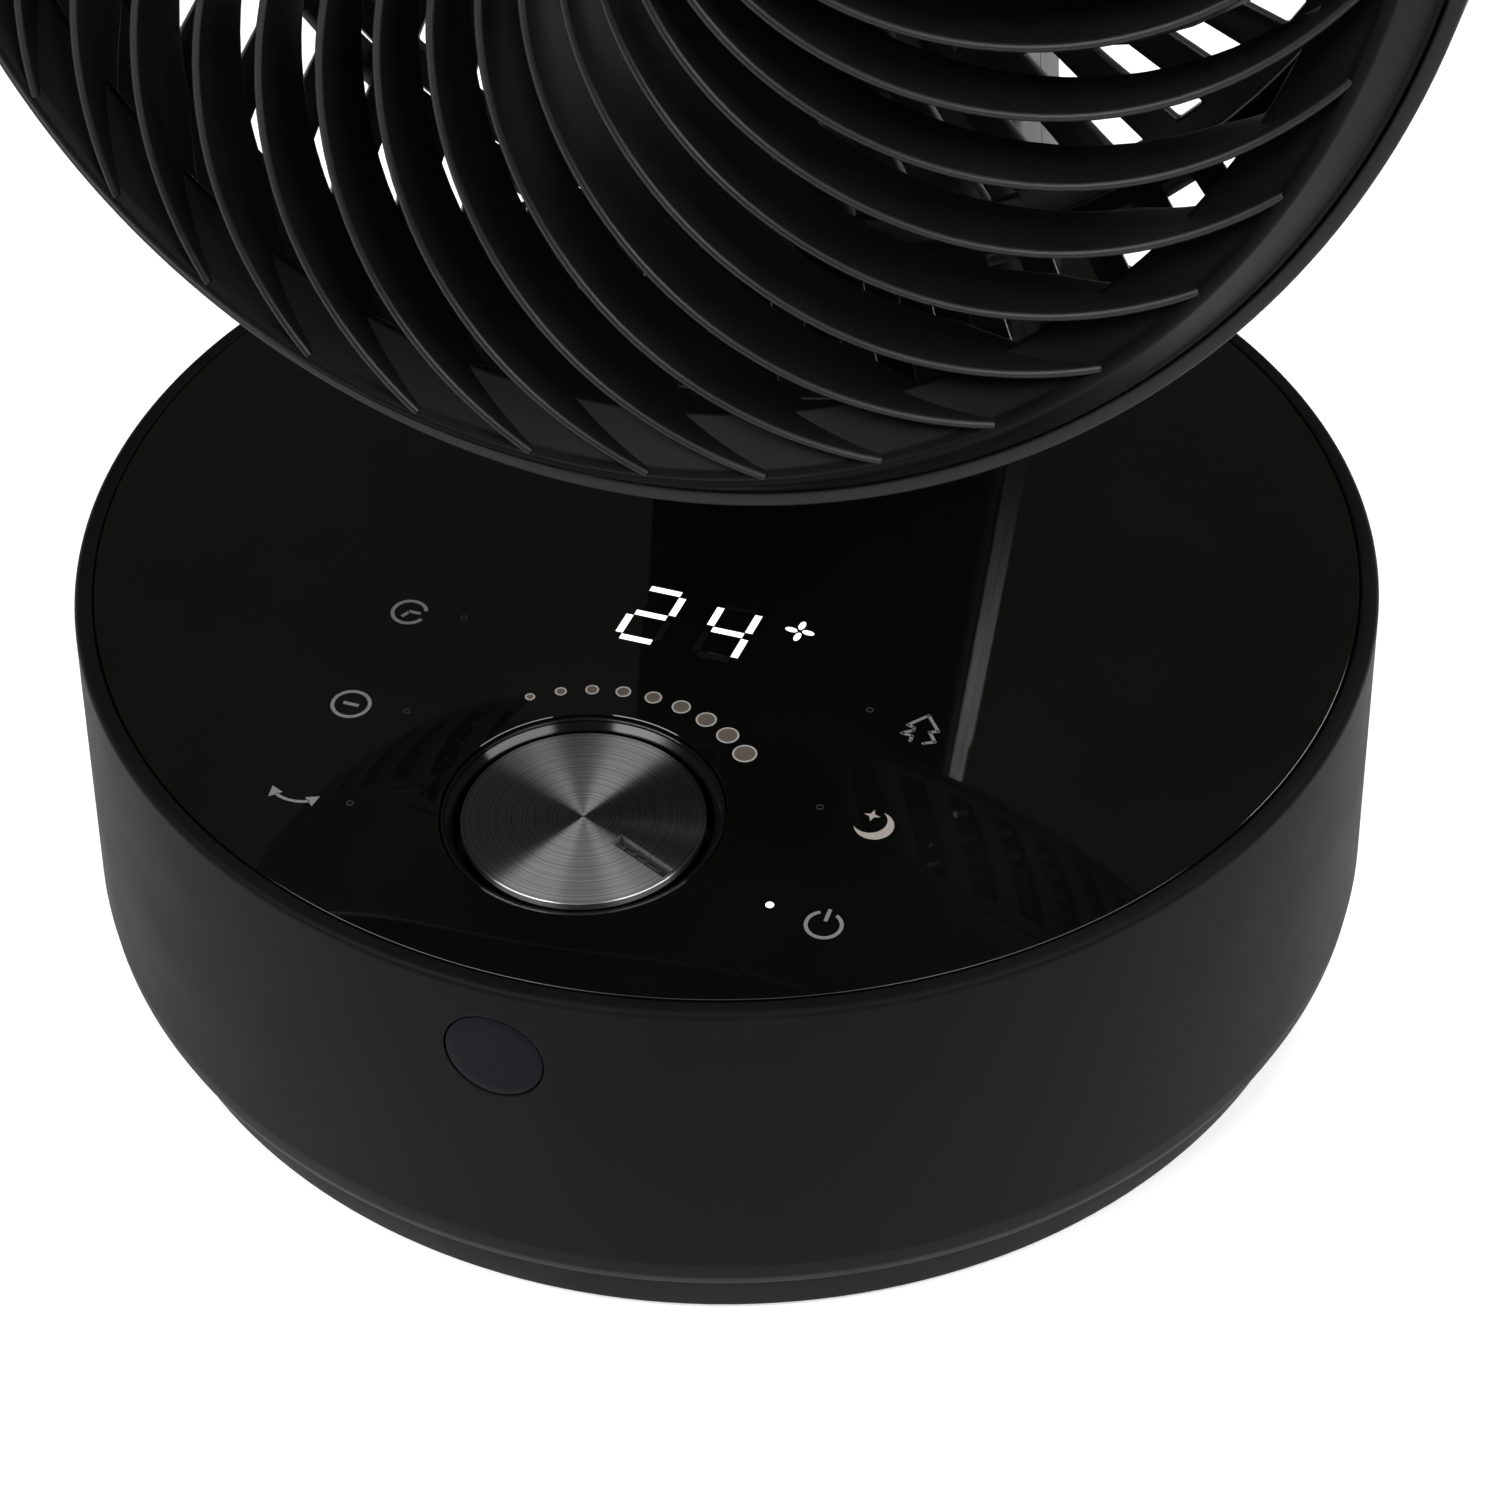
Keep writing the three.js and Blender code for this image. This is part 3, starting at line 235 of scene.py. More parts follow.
def slotted(name, stations, bars, rounds=5):
    """Shell with bars between closed rims. A station: outer, inner (r, z) in mm, sweep and half
    width of its bars in radians, and whether the zone from it to the next one is closed."""
    verts, faces = [], []
    columns = 2 * bars
    for s in stations:
        for c in range(columns):
            side = -1 if c % 2 == 0 else 1
            a = 2 * math.pi * (c // 2) / bars + s["sweep"] + side * s["half"]
            for r, z in (s["outer"], s["inner"]):
                verts.append((r * math.cos(a) * MM, r * math.sin(a) * MM, z * MM))

    def at(row, column, face):
        return 2 * (row * columns + column % columns) + face

    def solid(row, column):
        return 0 <= row < len(stations) - 1 and (stations[row]["closed"] or column % 2 == 0)

    for row in range(len(stations) - 1):
        for c in range(columns):
            if not solid(row, c):
                continue
            v = [[[at(row + d, c + e, f) for f in (0, 1)] for e in (0, 1)] for d in (0, 1)]
            faces.append((v[0][0][0], v[1][0][0], v[1][1][0], v[0][1][0]))
            faces.append((v[0][0][1], v[0][1][1], v[1][1][1], v[1][0][1]))
            if not solid(row - 1, c):
                faces.append((v[0][0][0], v[0][1][0], v[0][1][1], v[0][0][1]))
            if not solid(row + 1, c):
                faces.append((v[1][0][0], v[1][0][1], v[1][1][1], v[1][1][0]))
            if not solid(row, c - 1):
                faces.append((v[0][0][0], v[0][0][1], v[1][0][1], v[1][0][0]))
            if not solid(row, c + 1):
                faces.append((v[0][1][0], v[1][1][0], v[1][1][1], v[0][1][1]))
    obj = new_object(name, verts, faces, None)
    outward(obj)
    bevel = obj.modifiers.new("edge", "BEVEL")
    bevel.width = 0.5 * MM
    bevel.segments = 2
    bevel.limit_method = "ANGLE"
    bevel.angle_limit = math.radians(50)
    apply_modifiers(obj)
    smooth(obj, 30)
    return obj


def flat_shape(name, loops):
    """A thin printed shape on the glass: closed loops of (x, y) in mm, the later ones cut out of the first."""
    curve = bpy.data.curves.new(name, "CURVE")
    curve.dimensions = "2D"
    curve.fill_mode = "BOTH"
    for loop in loops:
        line = curve.splines.new("POLY")
        line.points.add(len(loop) - 1)
        for point, (x, y) in zip(line.points, loop):
            point.co = (x * MM, y * MM, 0, 1)
        line.use_cyclic_u = True
    curve.extrude = PRINT_THICK / 2 * MM
    obj = linked(name, curve)
    bpy.context.view_layer.update()
    mesh = bpy.data.meshes.new_from_object(obj.evaluated_get(bpy.context.evaluated_depsgraph_get()))
    bpy.data.objects.remove(obj)
    mesh.transform(Matrix.Translation((0, 0, (GLASS_TOP + PRINT_THICK / 2) * MM)))
    return linked(name, mesh)


def circle_loop(x, y, r, steps=40):
    turn = 2 * math.pi
    return [(x + r * math.cos(turn * i / steps), y + r * math.sin(turn * i / steps)) for i in range(steps)]


def arc_band(x, y, r, width, start, end, steps=40):
    """A closed loop round a stroke that follows an arc, angles in degrees."""
    angles = [math.radians(start + (end - start) * i / steps) for i in range(steps + 1)]
    outer = [(x + (r + width / 2) * math.cos(a), y + (r + width / 2) * math.sin(a)) for a in angles]
    inner = [(x + (r - width / 2) * math.cos(a), y + (r - width / 2) * math.sin(a)) for a in reversed(angles)]
    return outer + inner


def stroke(x0, y0, x1, y1, width):
    d = Vector((x1 - x0, y1 - y0))
    n = Vector((-d.y, d.x)).normalized() * width / 2
    return [(x0 + n.x, y0 + n.y), (x0 - n.x, y0 - n.y), (x1 - n.x, y1 - n.y), (x1 + n.x, y1 + n.y)]


def skin(base, rings, size):
    """Faces of a tube through rings of the same number of points, closed at both ends."""
    faces = []
    for j in range(rings - 1):
        low = base + j * size
        high = low + size
        for i in range(size):
            k = (i + 1) % size
            faces.append((low + i, low + k, high + k, high + i))
    faces.append(tuple(base + i for i in range(size)))
    end = base + (rings - 1) * size
    faces.append(tuple(end + i for i in reversed(range(size))))
    return faces


def joined(name, parts):
    bm = bmesh.new()
    for part in parts:
        bm.from_mesh(part.data)
        bpy.data.objects.remove(part)
    mesh = bpy.data.meshes.new(name)
    bm.to_mesh(mesh)
    bm.free()
    return linked(name, mesh)


# ---- Materials -----------------------------------------------------------------------------------
def material(name, color, roughness, metallic=0.0, specular=0.5):
    mat = bpy.data.materials.new(name)
    mat.use_nodes = True
    shader = mat.node_tree.nodes["Principled BSDF"]
    shader.inputs["Base Color"].default_value = (*color, 1)
    shader.inputs["Roughness"].default_value = roughness
    shader.inputs["Metallic"].default_value = metallic
    shader.inputs["Specular IOR Level"].default_value = specular
    return mat, mat.node_tree.nodes, mat.node_tree.links, shader


def texture_point(mat_nodes, links, scale=(1, 1, 1)):
    coord = mat_nodes.new("ShaderNodeTexCoord")
    mapping = mat_nodes.new("ShaderNodeMapping")
    mapping.inputs["Scale"].default_value = scale
    links.new(coord.outputs["Object"], mapping.inputs["Vector"])
    return mapping.outputs["Vector"]


def ramp(mat_nodes, links, source, low, high):
    node = mat_nodes.new("ShaderNodeValToRGB")
    node.color_ramp.elements[0].position = 0.3
    node.color_ramp.elements[1].position = 0.7
    node.color_ramp.elements[0].color = (*low, 1)
    node.color_ramp.elements[1].color = (*high, 1)
    links.new(source, node.inputs["Fac"])
    return node.outputs["Color"]


def moulded(name, dark, light, roughness, bump=0.06, mottle=60.0, spread=0.08, **rest):
    """Moulded plastic: a fine spark-eroded grain, slow variation of gloss and a little dust tone."""
    mat, n, links, shader = material(name, dark, roughness, **rest)
    point = texture_point(n, links)
    slow = n.new("ShaderNodeTexNoise")
    slow.inputs["Scale"].default_value = mottle
    slow.inputs["Detail"].default_value = 4
    links.new(point, slow.inputs["Vector"])
    links.new(ramp(n, links, slow.outputs["Fac"], dark, light), shader.inputs["Base Color"])
    gloss = n.new("ShaderNodeMapRange")
    gloss.inputs["To Min"].default_value = max(0.02, roughness - spread)
    gloss.inputs["To Max"].default_value = roughness + spread
    links.new(slow.outputs["Fac"], gloss.inputs["Value"])
    links.new(gloss.outputs["Result"], shader.inputs["Roughness"])
    fine = n.new("ShaderNodeTexNoise")
    fine.inputs["Scale"].default_value = 1400
    fine.inputs["Detail"].default_value = 2
    links.new(point, fine.inputs["Vector"])
    relief = n.new("ShaderNodeBump")
    relief.inputs["Strength"].default_value = bump
    relief.inputs["Distance"].default_value = 0.0002
    links.new(fine.outputs["Fac"], relief.inputs["Height"])
    edge = n.new("ShaderNodeBevel")
    edge.inputs["Radius"].default_value = 0.0005
    links.new(edge.outputs["Normal"], relief.inputs["Normal"])
    links.new(relief.outputs["Normal"], shader.inputs["Normal"])
    return mat


def spun_metal(name, low, high, roughness):
    """Turned metal: fine concentric grooves that spread the highlights into wedges."""
    mat, n, links, shader = material(name, high, roughness, 1.0)
    shader.inputs["Anisotropic"].default_value = 1.0
    shader.inputs["Anisotropic Rotation"].default_value = 0.25
    coord = n.new("ShaderNodeTexCoord")
    tangent = n.new("ShaderNodeTangent")
    tangent.direction_type = "RADIAL"
    tangent.axis = "Z"
    links.new(tangent.outputs["Tangent"], shader.inputs["Tangent"])
    length = n.new("ShaderNodeVectorMath")
    length.operation = "LENGTH"
    links.new(coord.outputs["Object"], length.inputs[0])
    turns = n.new("ShaderNodeTexNoise")
    turns.noise_dimensions = "1D"
    turns.inputs["Scale"].default_value = 2600
    turns.inputs["Detail"].default_value = 3
    links.new(length.outputs["Value"], turns.inputs["W"])
    links.new(ramp(n, links, turns.outputs["Fac"], low, high), shader.inputs["Base Color"])
    relief = n.new("ShaderNodeBump")
    relief.inputs["Strength"].default_value = 0.12
    relief.inputs["Distance"].default_value = 0.0001
    links.new(turns.outputs["Fac"], relief.inputs["Height"])
    links.new(relief.outputs["Normal"], shader.inputs["Normal"])
    return mat


def black_glass():
    mat, n, links, shader = material("black_glass", (0.002, 0.002, 0.0018), 0.02)
    point = texture_point(n, links)
    cloud = n.new("ShaderNodeTexNoise")
    cloud.inputs["Scale"].default_value = 25
    cloud.inputs["Detail"].default_value = 5
    links.new(point, cloud.inputs["Vector"])
    wipe = n.new("ShaderNodeMapRange")
    wipe.inputs["To Min"].default_value = 0.015
    wipe.inputs["To Max"].default_value = 0.04
    links.new(cloud.outputs["Fac"], wipe.inputs["Value"])
    links.new(wipe.outputs["Result"], shader.inputs["Roughness"])
    links.new(ramp(n, links, cloud.outputs["Fac"], (0.0014, 0.0014, 0.0012), (0.0026, 0.0026, 0.0022)),
              shader.inputs["Base Color"])
    return mat


def printed(name, color, glow=0.0):
    mat, n, links, shader = material(name, color, 0.35)
    point = texture_point(n, links)
    speck = n.new("ShaderNodeTexNoise")
    speck.inputs["Scale"].default_value = 2500
    links.new(point, speck.inputs["Vector"])
    low = tuple(0.85 * c for c in color)
    links.new(ramp(n, links, speck.outputs["Fac"], low, color), shader.inputs["Base Color"])
    if glow:
        shader.inputs["Emission Color"].default_value = (*color, 1)
        shader.inputs["Emission Strength"].default_value = glow
    return mat


def brushed(name, color, roughness):
    mat, n, links, shader = material(name, color, roughness, 1.0)
    point = texture_point(n, links, (40, 40, 900))
    lines = n.new("ShaderNodeTexNoise")
    lines.inputs["Scale"].default_value = 8
    lines.inputs["Detail"].default_value = 4
    links.new(point, lines.inputs["Vector"])
    low = tuple(0.75 * c for c in color)
    links.new(ramp(n, links, lines.outputs["Fac"], low, color), shader.inputs["Base Color"])
    gloss = n.new("ShaderNodeMapRange")
    gloss.inputs["To Min"].default_value = roughness - 0.08
    gloss.inputs["To Max"].default_value = roughness + 0.08
    links.new(lines.outputs["Fac"], gloss.inputs["Value"])
    links.new(gloss.outputs["Result"], shader.inputs["Roughness"])
    return mat


satin = moulded("satin_black", (0.0065, 0.0065, 0.0067), (0.0085, 0.0085, 0.0087), 0.42, bump=0.05,
               specular=0.28)
shell_black = moulded("shell_black", (0.0036, 0.0036, 0.0038), (0.0048, 0.0048, 0.005), 0.5, bump=0.04,
                      specular=0.05)
vane_black = moulded("vane_black", (0.0042, 0.0042, 0.0042), (0.0058, 0.0058, 0.0058), 0.36, bump=0.03,
                     specular=0.3)
ring_black = moulded("ring_black", (0.0024, 0.0024, 0.0025), (0.0034, 0.0034, 0.0036), 0.4, bump=0.02,
                     specular=0.05)
dark = moulded("dark_plastic", (0.004, 0.004, 0.004), (0.006, 0.006, 0.006), 0.4)
gloss = moulded("gloss_black", (0.002, 0.002, 0.002), (0.003, 0.003, 0.003), 0.1, bump=0.01, spread=0.02)
lens = moulded("smoked_lens", (0.0009, 0.001, 0.003), (0.0013, 0.0015, 0.0045), 0.2, bump=0.02, specular=0.06)
rubber = moulded("pad_rubber", (0.005, 0.005, 0.005), (0.009, 0.009, 0.009), 0.85, bump=0.3)
nylon = moulded("white_nylon", (0.68, 0.66, 0.62), (0.76, 0.74, 0.7), 0.45)
board = moulded("circuit_board", (0.012, 0.07, 0.025), (0.02, 0.09, 0.035), 0.4, mottle=400)
steel = brushed("plain_steel", (0.45, 0.46, 0.48), 0.35)
motor_steel = brushed("motor_steel", (0.4, 0.41, 0.42), 0.3)
glass = black_glass()
aluminium = spun_metal("spun_aluminium", (0.30, 0.30, 0.31), (0.56, 0.56, 0.57), 0.3)
rim_gloss = moulded("rim_gloss", (0.003, 0.003, 0.003), (0.004, 0.004, 0.004), 0.12, bump=0.01, spread=0.02,
                    specular=0.34)
print_grey = printed("print_grey", (0.17, 0.165, 0.16))
print_pale = printed("print_pale", (0.3, 0.265, 0.245))
print_dark = printed("print_dark", (0.02, 0.02, 0.02))
dot_rim = printed("dot_rim", (0.33, 0.32, 0.3))
dot_fill = printed("dot_fill", (0.09, 0.076, 0.062))
lit_white = printed("lit_white", (1.0, 1.0, 1.0), 1.0)

NODE_LOOK = {
    "foot_disc": shell_black, "ballast_ring": steel, "slide_ring": nylon, "power_inlet": dark, "swing_gear": nylon,
    "swing_retainer": steel, "swing_pinion": nylon, "swing_motor": motor_steel, "drum_shell": shell_black,
    "drum_floor": dark, "top_deck": dark, "glass_panel": glass, "control_board": board,
    "display_module": nylon, "ir_window": lens, "ir_receiver": dark, "encoder": dark,
    "encoder_spindle": motor_steel, "dial_well": gloss, "knob_body": gloss, "knob_cap": aluminium,
    "knob_pointer": dark, "neck_front_shell": satin, "neck_rear_shell": satin, "neck_spine": steel,
    "neck_yoke": satin, "tilt_pin": steel, "tilt_washer_left": nylon, "tilt_washer_right": nylon,
    "pivot_cap_left": satin, "pivot_cap_right": satin, "front_grille": vane_black, "centre_cap": satin,
    "shroud": satin, "rear_guard": satin, "rear_grille": satin, "motor_cover": satin,
    "motor_bell": motor_steel, "front_bearing": motor_steel, "rear_bearing": motor_steel,
    "stator": motor_steel, "rotor": motor_steel, "motor_shaft": motor_steel, "fan_blade": dark,
    "blade_nut": dark, "tilt_knuckle": satin,
}


def dress(obj, mat):
    obj.data.materials.clear()
    obj.data.materials.append(mat)


for node, obj in nodes.items():
    dress(obj, NODE_LOOK.get(node, rubber))


def place(obj, body, mat, replaces=(), matrix=None):
    if matrix is not None:
        obj.matrix_world = matrix
    dress(obj, mat)
    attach(obj, body)
    if replaces:
        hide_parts(*replaces)


# ---- Base pieces ---------------------------------------------------------------------------------
def make_foot():
    profile = rounded([(19, 1), (FOOT_BOTTOM_R, 1), (FOOT_TOP_R, FOOT_TOP), (FOOT_TOP_R - 2.5, FOOT_TOP),
                       (FOOT_TOP_R - 2.5, 3.5), (24, 3.5), (24, 20.5), (19, 20.5)], 0.6)
    foot = lathe("foot_look", profile)
    notch = box_object("notch", (11.6, 21, 60), (0, 122.8, 0))
    pads = [lathe("pad_cut", [(0, -1), (8.3, -1), (8.3, 2.3), (0, 2.3)], 32, closed=False) for _ in range(5)]
    for i, pad in enumerate(pads):
        a = -math.pi / 2 + 2 * math.pi * i / 5
        pad.matrix_world = Matrix.Translation((0.1 * math.cos(a), 0.1 * math.sin(a), 0))
    cut_away(foot, notch, *pads)
    place(foot, "foot", shell_black, ["foot_disc"])


def make_drum():
    outer = [(DRUM_FOOT_R, DRUM_BOTTOM), (127.0, 13.0), (DRUM_WIDE_R - 0.35, 15.6),
             (DRUM_WIDE_R, DRUM_WIDE_Z), (DRUM_TOP_R, GLASS_TOP - 0.8), (DRUM_TOP_R - 0.8, GLASS_TOP)]
    inner = [(GLASS_R + 0.3, GLASS_TOP), (GLASS_R + 0.3, 78.7), (116.7, 78.7), (116.7, 76.2),
             (122.7, 76.2), (125.6, DRUM_WIDE_Z), (122.5, 15.2), (122.5, DRUM_BOTTOM)]
    drum = lathe("drum_look", rounded(outer + inner, 0.5), 256)
    tool = lathe("window_cut", [(0, 0), (WINDOW_R + 0.3, 0), (WINDOW_R + 0.3, 40), (0, 40)], 64, closed=False)
    tool.matrix_world = Matrix.Translation((0, -0.11, WINDOW_Z * MM)) @ Matrix.Rotation(math.pi / 2, 4, "X")
    cut_away(drum, tool)
    place(drum, "drum", shell_black, ["drum_shell"])


def make_window():
    """A round lens that follows the drum's wall."""
    verts, faces = [], []
    rings, around = 10, 48
    wall = DRUM_WIDE_R + (DRUM_TOP_R - DRUM_WIDE_R) * (WINDOW_Z - DRUM_WIDE_Z) / (DRUM_EDGE_Z - DRUM_WIDE_Z)
    lean = (DRUM_TOP_R - DRUM_WIDE_R) / (DRUM_EDGE_Z - DRUM_WIDE_Z)
    for depth in (0.0, WINDOW_THICK):
        for j in range(rings + 1):
            r = WINDOW_R * j / rings
            dip = 0.12 if j == rings else 0
            for i in range(around):
                a = 2 * math.pi * i / around
                x, z = r * math.cos(a), WINDOW_Z + r * math.sin(a)
                reach = wall + lean * (z - WINDOW_Z) - 0.05 - depth - (dip if depth == 0 else -dip)
                verts.append((x * MM, -math.sqrt(reach ** 2 - x ** 2) * MM, z * MM))
    for side in (0, 1):
        base = side * (rings + 1) * around
        for j in range(rings):
            for i in range(around):
                k = (i + 1) % around
                quad = (base + j * around + i, base + j * around + k, base + (j + 1) * around + k,
                        base + (j + 1) * around + i)
                faces.append(quad)
    last = rings * around
    other = (rings + 1) * around + last
    for i in range(around):
        k = (i + 1) % around
        faces.append((last + i, last + k, other + k, other + i))
    obj = new_object("window_look", verts, faces, None)
    bm = bmesh.new()
    bm.from_mesh(obj.data)
    bmesh.ops.remove_doubles(bm, verts=bm.verts, dist=1e-6)
    bmesh.ops.recalc_face_normals(bm, faces=bm.faces)
    bm.to_mesh(obj.data)
    bm.free()
    smooth(obj, 40)
    place(obj, "drum", lens, ["ir_window"])


def make_glass():
    panel = lathe("glass_look", rounded([(0, GLASS_BOTTOM), (GLASS_R, GLASS_BOTTOM), (GLASS_R, GLASS_TOP),
                                         (0, GLASS_TOP)], 0.25), 256, closed=False)
    reach = WELL_R + 1.1
    cut_top = GLASS_TOP + RIM_CHAMFER
    hole = lathe("glass_cut", [(0, 0), (reach, 0), (reach, GLASS_TOP - RIM_CHAMFER),
                               (reach + 2 * RIM_CHAMFER, cut_top), (0, cut_top)], 160, closed=False)
    hole.matrix_world = Matrix.Translation((0, KNOB_Y * MM, 0))
    slot = box_object("slot_cut", (52, 14.8, 60), (0, NECK_Y + NECK_SLOPE * 1.5, 80))
    cut_away(panel, hole, slot)
    place(panel, "drum", glass, ["glass_panel"])


def make_well():
    """The dial's well, with a glossy sloped band round its mouth."""
    outer = WELL_R + 0.8
    profile = [(3.5, 72), (outer, 72), (outer, 76.2), (outer + 2.8, 76.2), (outer + 2.8, 77.7), (outer, 77.7),
               (outer, 81.7), (WELL_R, 81.7), (WELL_R, WELL_FLOOR), (3.5, WELL_FLOOR)]
    well = lathe("well_look", rounded(profile, 0.3), 160)
    here = Matrix.Translation((0, KNOB_Y * MM, 0))
    place(well, "drum", gloss, ["dial_well"], here)
    band_top = BAND_FOOT + BAND_RISE
    band = [(WELL_R - 1.3, BAND_FOOT), (WELL_R + 0.6, BAND_FOOT), (WELL_R + 0.6, band_top), (WELL_R + 0.5, band_top)]
    place(lathe("well_band_look", band, BASE_SEGMENTS), "drum", rim_gloss, (), here)


def make_knob():
    """Spun cap with a thin bright chamfer, on a black body, with a slot and a marker in it."""
    low = KNOB_TOP - 1.4
    cap = lathe("cap_look", [(0, low - KNOB_TOP), (KNOB_R, low - KNOB_TOP), (KNOB_R, -0.14),
                             (KNOB_R - 0.14, 0), (KNOB_R * 0.66, 0), (KNOB_R * 0.33, 0), (0, 0)],
                192, closed=False, angle=20)
    turn = Matrix.Rotation(math.radians(-25), 4, "Z")
    slot = box_object("pointer_cut", (12.8, 2.7, 2), (14.7, 0, -0.25))
    slot.matrix_world = turn
    cut_away(cap, slot)
    here = Matrix.Translation((0, KNOB_Y * MM, KNOB_TOP * MM))
    place(cap, "knob", aluminium, ["knob_cap"], here)
    body = lathe("knob_body_look", rounded([(3.3, 74.5), (21.4, 74.5), (21.4, 79.1), (3.3, 79.1)], 0.4), 128)
    place(body, "knob", gloss, ["knob_body"], Matrix.Translation((0, KNOB_Y * MM, 0)))
    parts = [box_object("marker_plate", (12.6, 2.5, 0.28), (14.7, 0, -1.1))]
    for k, (x, long) in enumerate(((9.6, 1.6), (12.0, 1.8), (14.6, 2.0), (17.6, 2.8))):
        bar = box_object("marker_bar", (long, 0.9, 0.3), (x, 0, -0.92 + 0.02 * k))
        parts.append(bar)
    marker = joined("marker_look", parts)
    edge = marker.modifiers.new("edge", "BEVEL")
    edge.width = 0.12 * MM
    apply_modifiers(marker)
    place(marker, "knob", dark, ["knob_pointer"], here @ turn)


# ---- Printed marks and display -------------------------------------------------------------------
def mark(name, loops_list, mat):
    parts = [flat_shape(name + "_part", loops) for loops in loops_list]
    place(joined(name, parts), "drum", mat)


def icon_timer(x, y):
    return [[arc_band(x, y, 3.2, 0.72, 22, 338)], [stroke(x - 0.3, y + 0.2, x + 2.2, y + 0.2, 0.7)],
            [stroke(x, y + 0.2, x - 0.9, y - 1.6, 0.7)]]


def icon_minus(x, y):
    return [[circle_loop(x, y, 3.8), circle_loop(x, y, 3.1)], [stroke(x - 1.5, y, x + 1.5, y, 0.75)]]


def icon_swing(x, y):
    parts = [[arc_band(x, y + 6.6, 7.2, 0.6, 243, 297)]]
    for side in (-1, 1):
        parts.append([[(x + side * 4.6, y + 1.9), (x + side * 4.2, y - 0.9), (x + side * 2.2, y + 0.9)]])
    return parts


def icon_tree(x, y):
    """Outline of a conifer with two tiers, open at the foot."""
    line = [(-1.0, -2.6), (-1.0, -1.3), (-3.0, -1.1), (-1.2, 0.2), (-1.3, 1.0), (-2.6, 1.3), (0.35, 4.9),
            (3.2, 1.3), (1.75, 0.6), (3.4, -1.6), (1.5, -2.6)]
    return [[stroke(x + a, y + b, x + c, y + d, 0.62)] for (a, b), (c, d) in zip(line, line[1:])] + [
        [circle_loop(x + a, y + b, 0.31, 16)] for a, b in line]


def icon_moon(x, y):
    """A lying crescent with a four-pointed star over it."""
    outer = [(x + 3.6 * math.cos(a), y + 3.6 * math.sin(a))
             for a in np.linspace(math.radians(200), math.radians(436), 44)]
    tip, end = Vector(outer[-1]), Vector(outer[0])
    middle = (tip + end) / 2
    away = (middle - Vector((x, y))).normalized()
    half = (tip - end).length / 2
    deep = 3.4
    radius = (half * half + deep * deep) / (2 * deep)
    centre = middle + away * (radius - deep)
    first = math.atan2(tip.y - centre.y, tip.x - centre.x)
    last = math.atan2(end.y - centre.y, end.x - centre.x)
    if last > first:
        last -= 2 * math.pi
    inner = [(centre.x + radius * math.cos(a), centre.y + radius * math.sin(a))
             for a in np.linspace(first, last, 36)[1:-1]]
    star = []
    for k in range(8):
        r = 1.5 if k % 2 == 0 else 0.55
        a = math.radians(90 + 45 * k)
        star.append((x - 1.0 + r * math.cos(a), y + 2.3 + r * math.sin(a)))
    return [[outer + inner], [star]]


def icon_power(x, y):
    return [[arc_band(x, y, 3.1, 0.68, 118, 422)], [stroke(x, y + 0.9, x, y + 3.9, 0.68)]]


def make_icons():
    left = [(icon_timer, -50.2, -38.9), (icon_minus, -50.5, -66.2), (icon_swing, -50.7, -92.5)]
    right = [(icon_tree, 51.05, -41.5), (icon_moon, 50.2, -67.2), (icon_power, 49.1, -93.3)]
    for icon, x, y in left + right:
        mark(icon.__name__, icon(x, y), print_pale if icon is icon_moon else print_grey)
    leds = [(-39.75, -37.3), (-40.0, -64.8), (-40.3, -90.5), (40.7, -38.4), (39.7, -65.7)]
    mark("leds_off", [[circle_loop(x, y, 0.7, 24), circle_loop(x, y, 0.42, 24)] for x, y in leds], print_dark)
    mark("led_on", [[circle_loop(38.8, -91.6, 0.75, 24)]], lit_white)
    rims, fills = [], []
    for i in range(9):
        a = math.radians(128 - 10.3 * i)
        x, y = 32.3 * math.cos(a), KNOB_Y + 32.3 * math.sin(a)
        r = 0.95 + 0.165 * i
        rims.append([circle_loop(x, y, r, 32), circle_loop(x, y, r - 0.33, 32)])
        fills.append([circle_loop(x, y, r - 0.33, 32)])
    mark("level_rims", rims, dot_rim)
    mark("level_dots", fills, dot_fill)


def seven_segments(x, y):
    """Seven square-cut bars of a digit, keyed a to g as on a display, x and y its lower left corner."""
    wide, tall, bar, gap = 6.15, 16.1, 1.4, 0.3
    half = tall / 2
    post = half - 1.5 * bar - 2 * gap

    def flat(height):
        return [(x, height - bar / 2), (x + wide, height - bar / 2), (x + wide, height + bar / 2),
                (x, height + bar / 2)]

    def upright(left, foot):
        return [(left, foot), (left + bar, foot), (left + bar, foot + post), (left, foot + post)]

    out = {"a": flat(y + tall - bar / 2), "g": flat(y + half), "d": flat(y + bar / 2)}
    for side, low, high in ((x - bar, "e", "f"), (x + wide, "c", "b")):
        out[low] = upright(side, y + bar + gap)
        out[high] = upright(side, y + half + bar / 2 + gap)
    lean = 0.057
    return {key: [(px + lean * (py - y), py) for px, py in loop] for key, loop in out.items()}


def make_display():
    two, four = seven_segments(-9.9, -33.75), seven_segments(5.45, -34.05)
    mark("digits", [[two[k]] for k in "abged"] + [[four[k]] for k in "fgbc"], lit_white)
    # Two thin lighter lines along the top and bottom edges of the four's unlit segments: painted highlights where
    # those edges catch the light, not print
    mark("painted_highlight_digit_top", [[stroke(7.6, -18.1, 11.4, -18.3, 0.3)]], print_grey)
    mark("painted_highlight_digit_bottom", [[stroke(7.0, -32.4, 11.2, -32.7, 0.2)]], print_dark)
    petals = []
    for k in range(4):
        a = math.radians(2 + 90 * k)
        c, s = math.cos(a), math.sin(a)
        petal = [(0.45 + 1.2 * (1 - math.cos(w)), 0.1 + 0.62 * math.sin(w) - 0.12 * (1 - math.cos(w)))
                 for w in np.linspace(0, 2 * math.pi, 24, endpoint=False)]
        petals.append([[(21.8 + c * px - s * py, -21.5 + s * px + c * py) for px, py in petal]])
    mark("fan_symbol", petals, lit_white)
    unlit = [[two[k]] for k in "fc"] + [[four[k]] for k in "aed"]
    mark("digits_off", unlit, printed("unlit", (0.0022, 0.0022, 0.0022)))


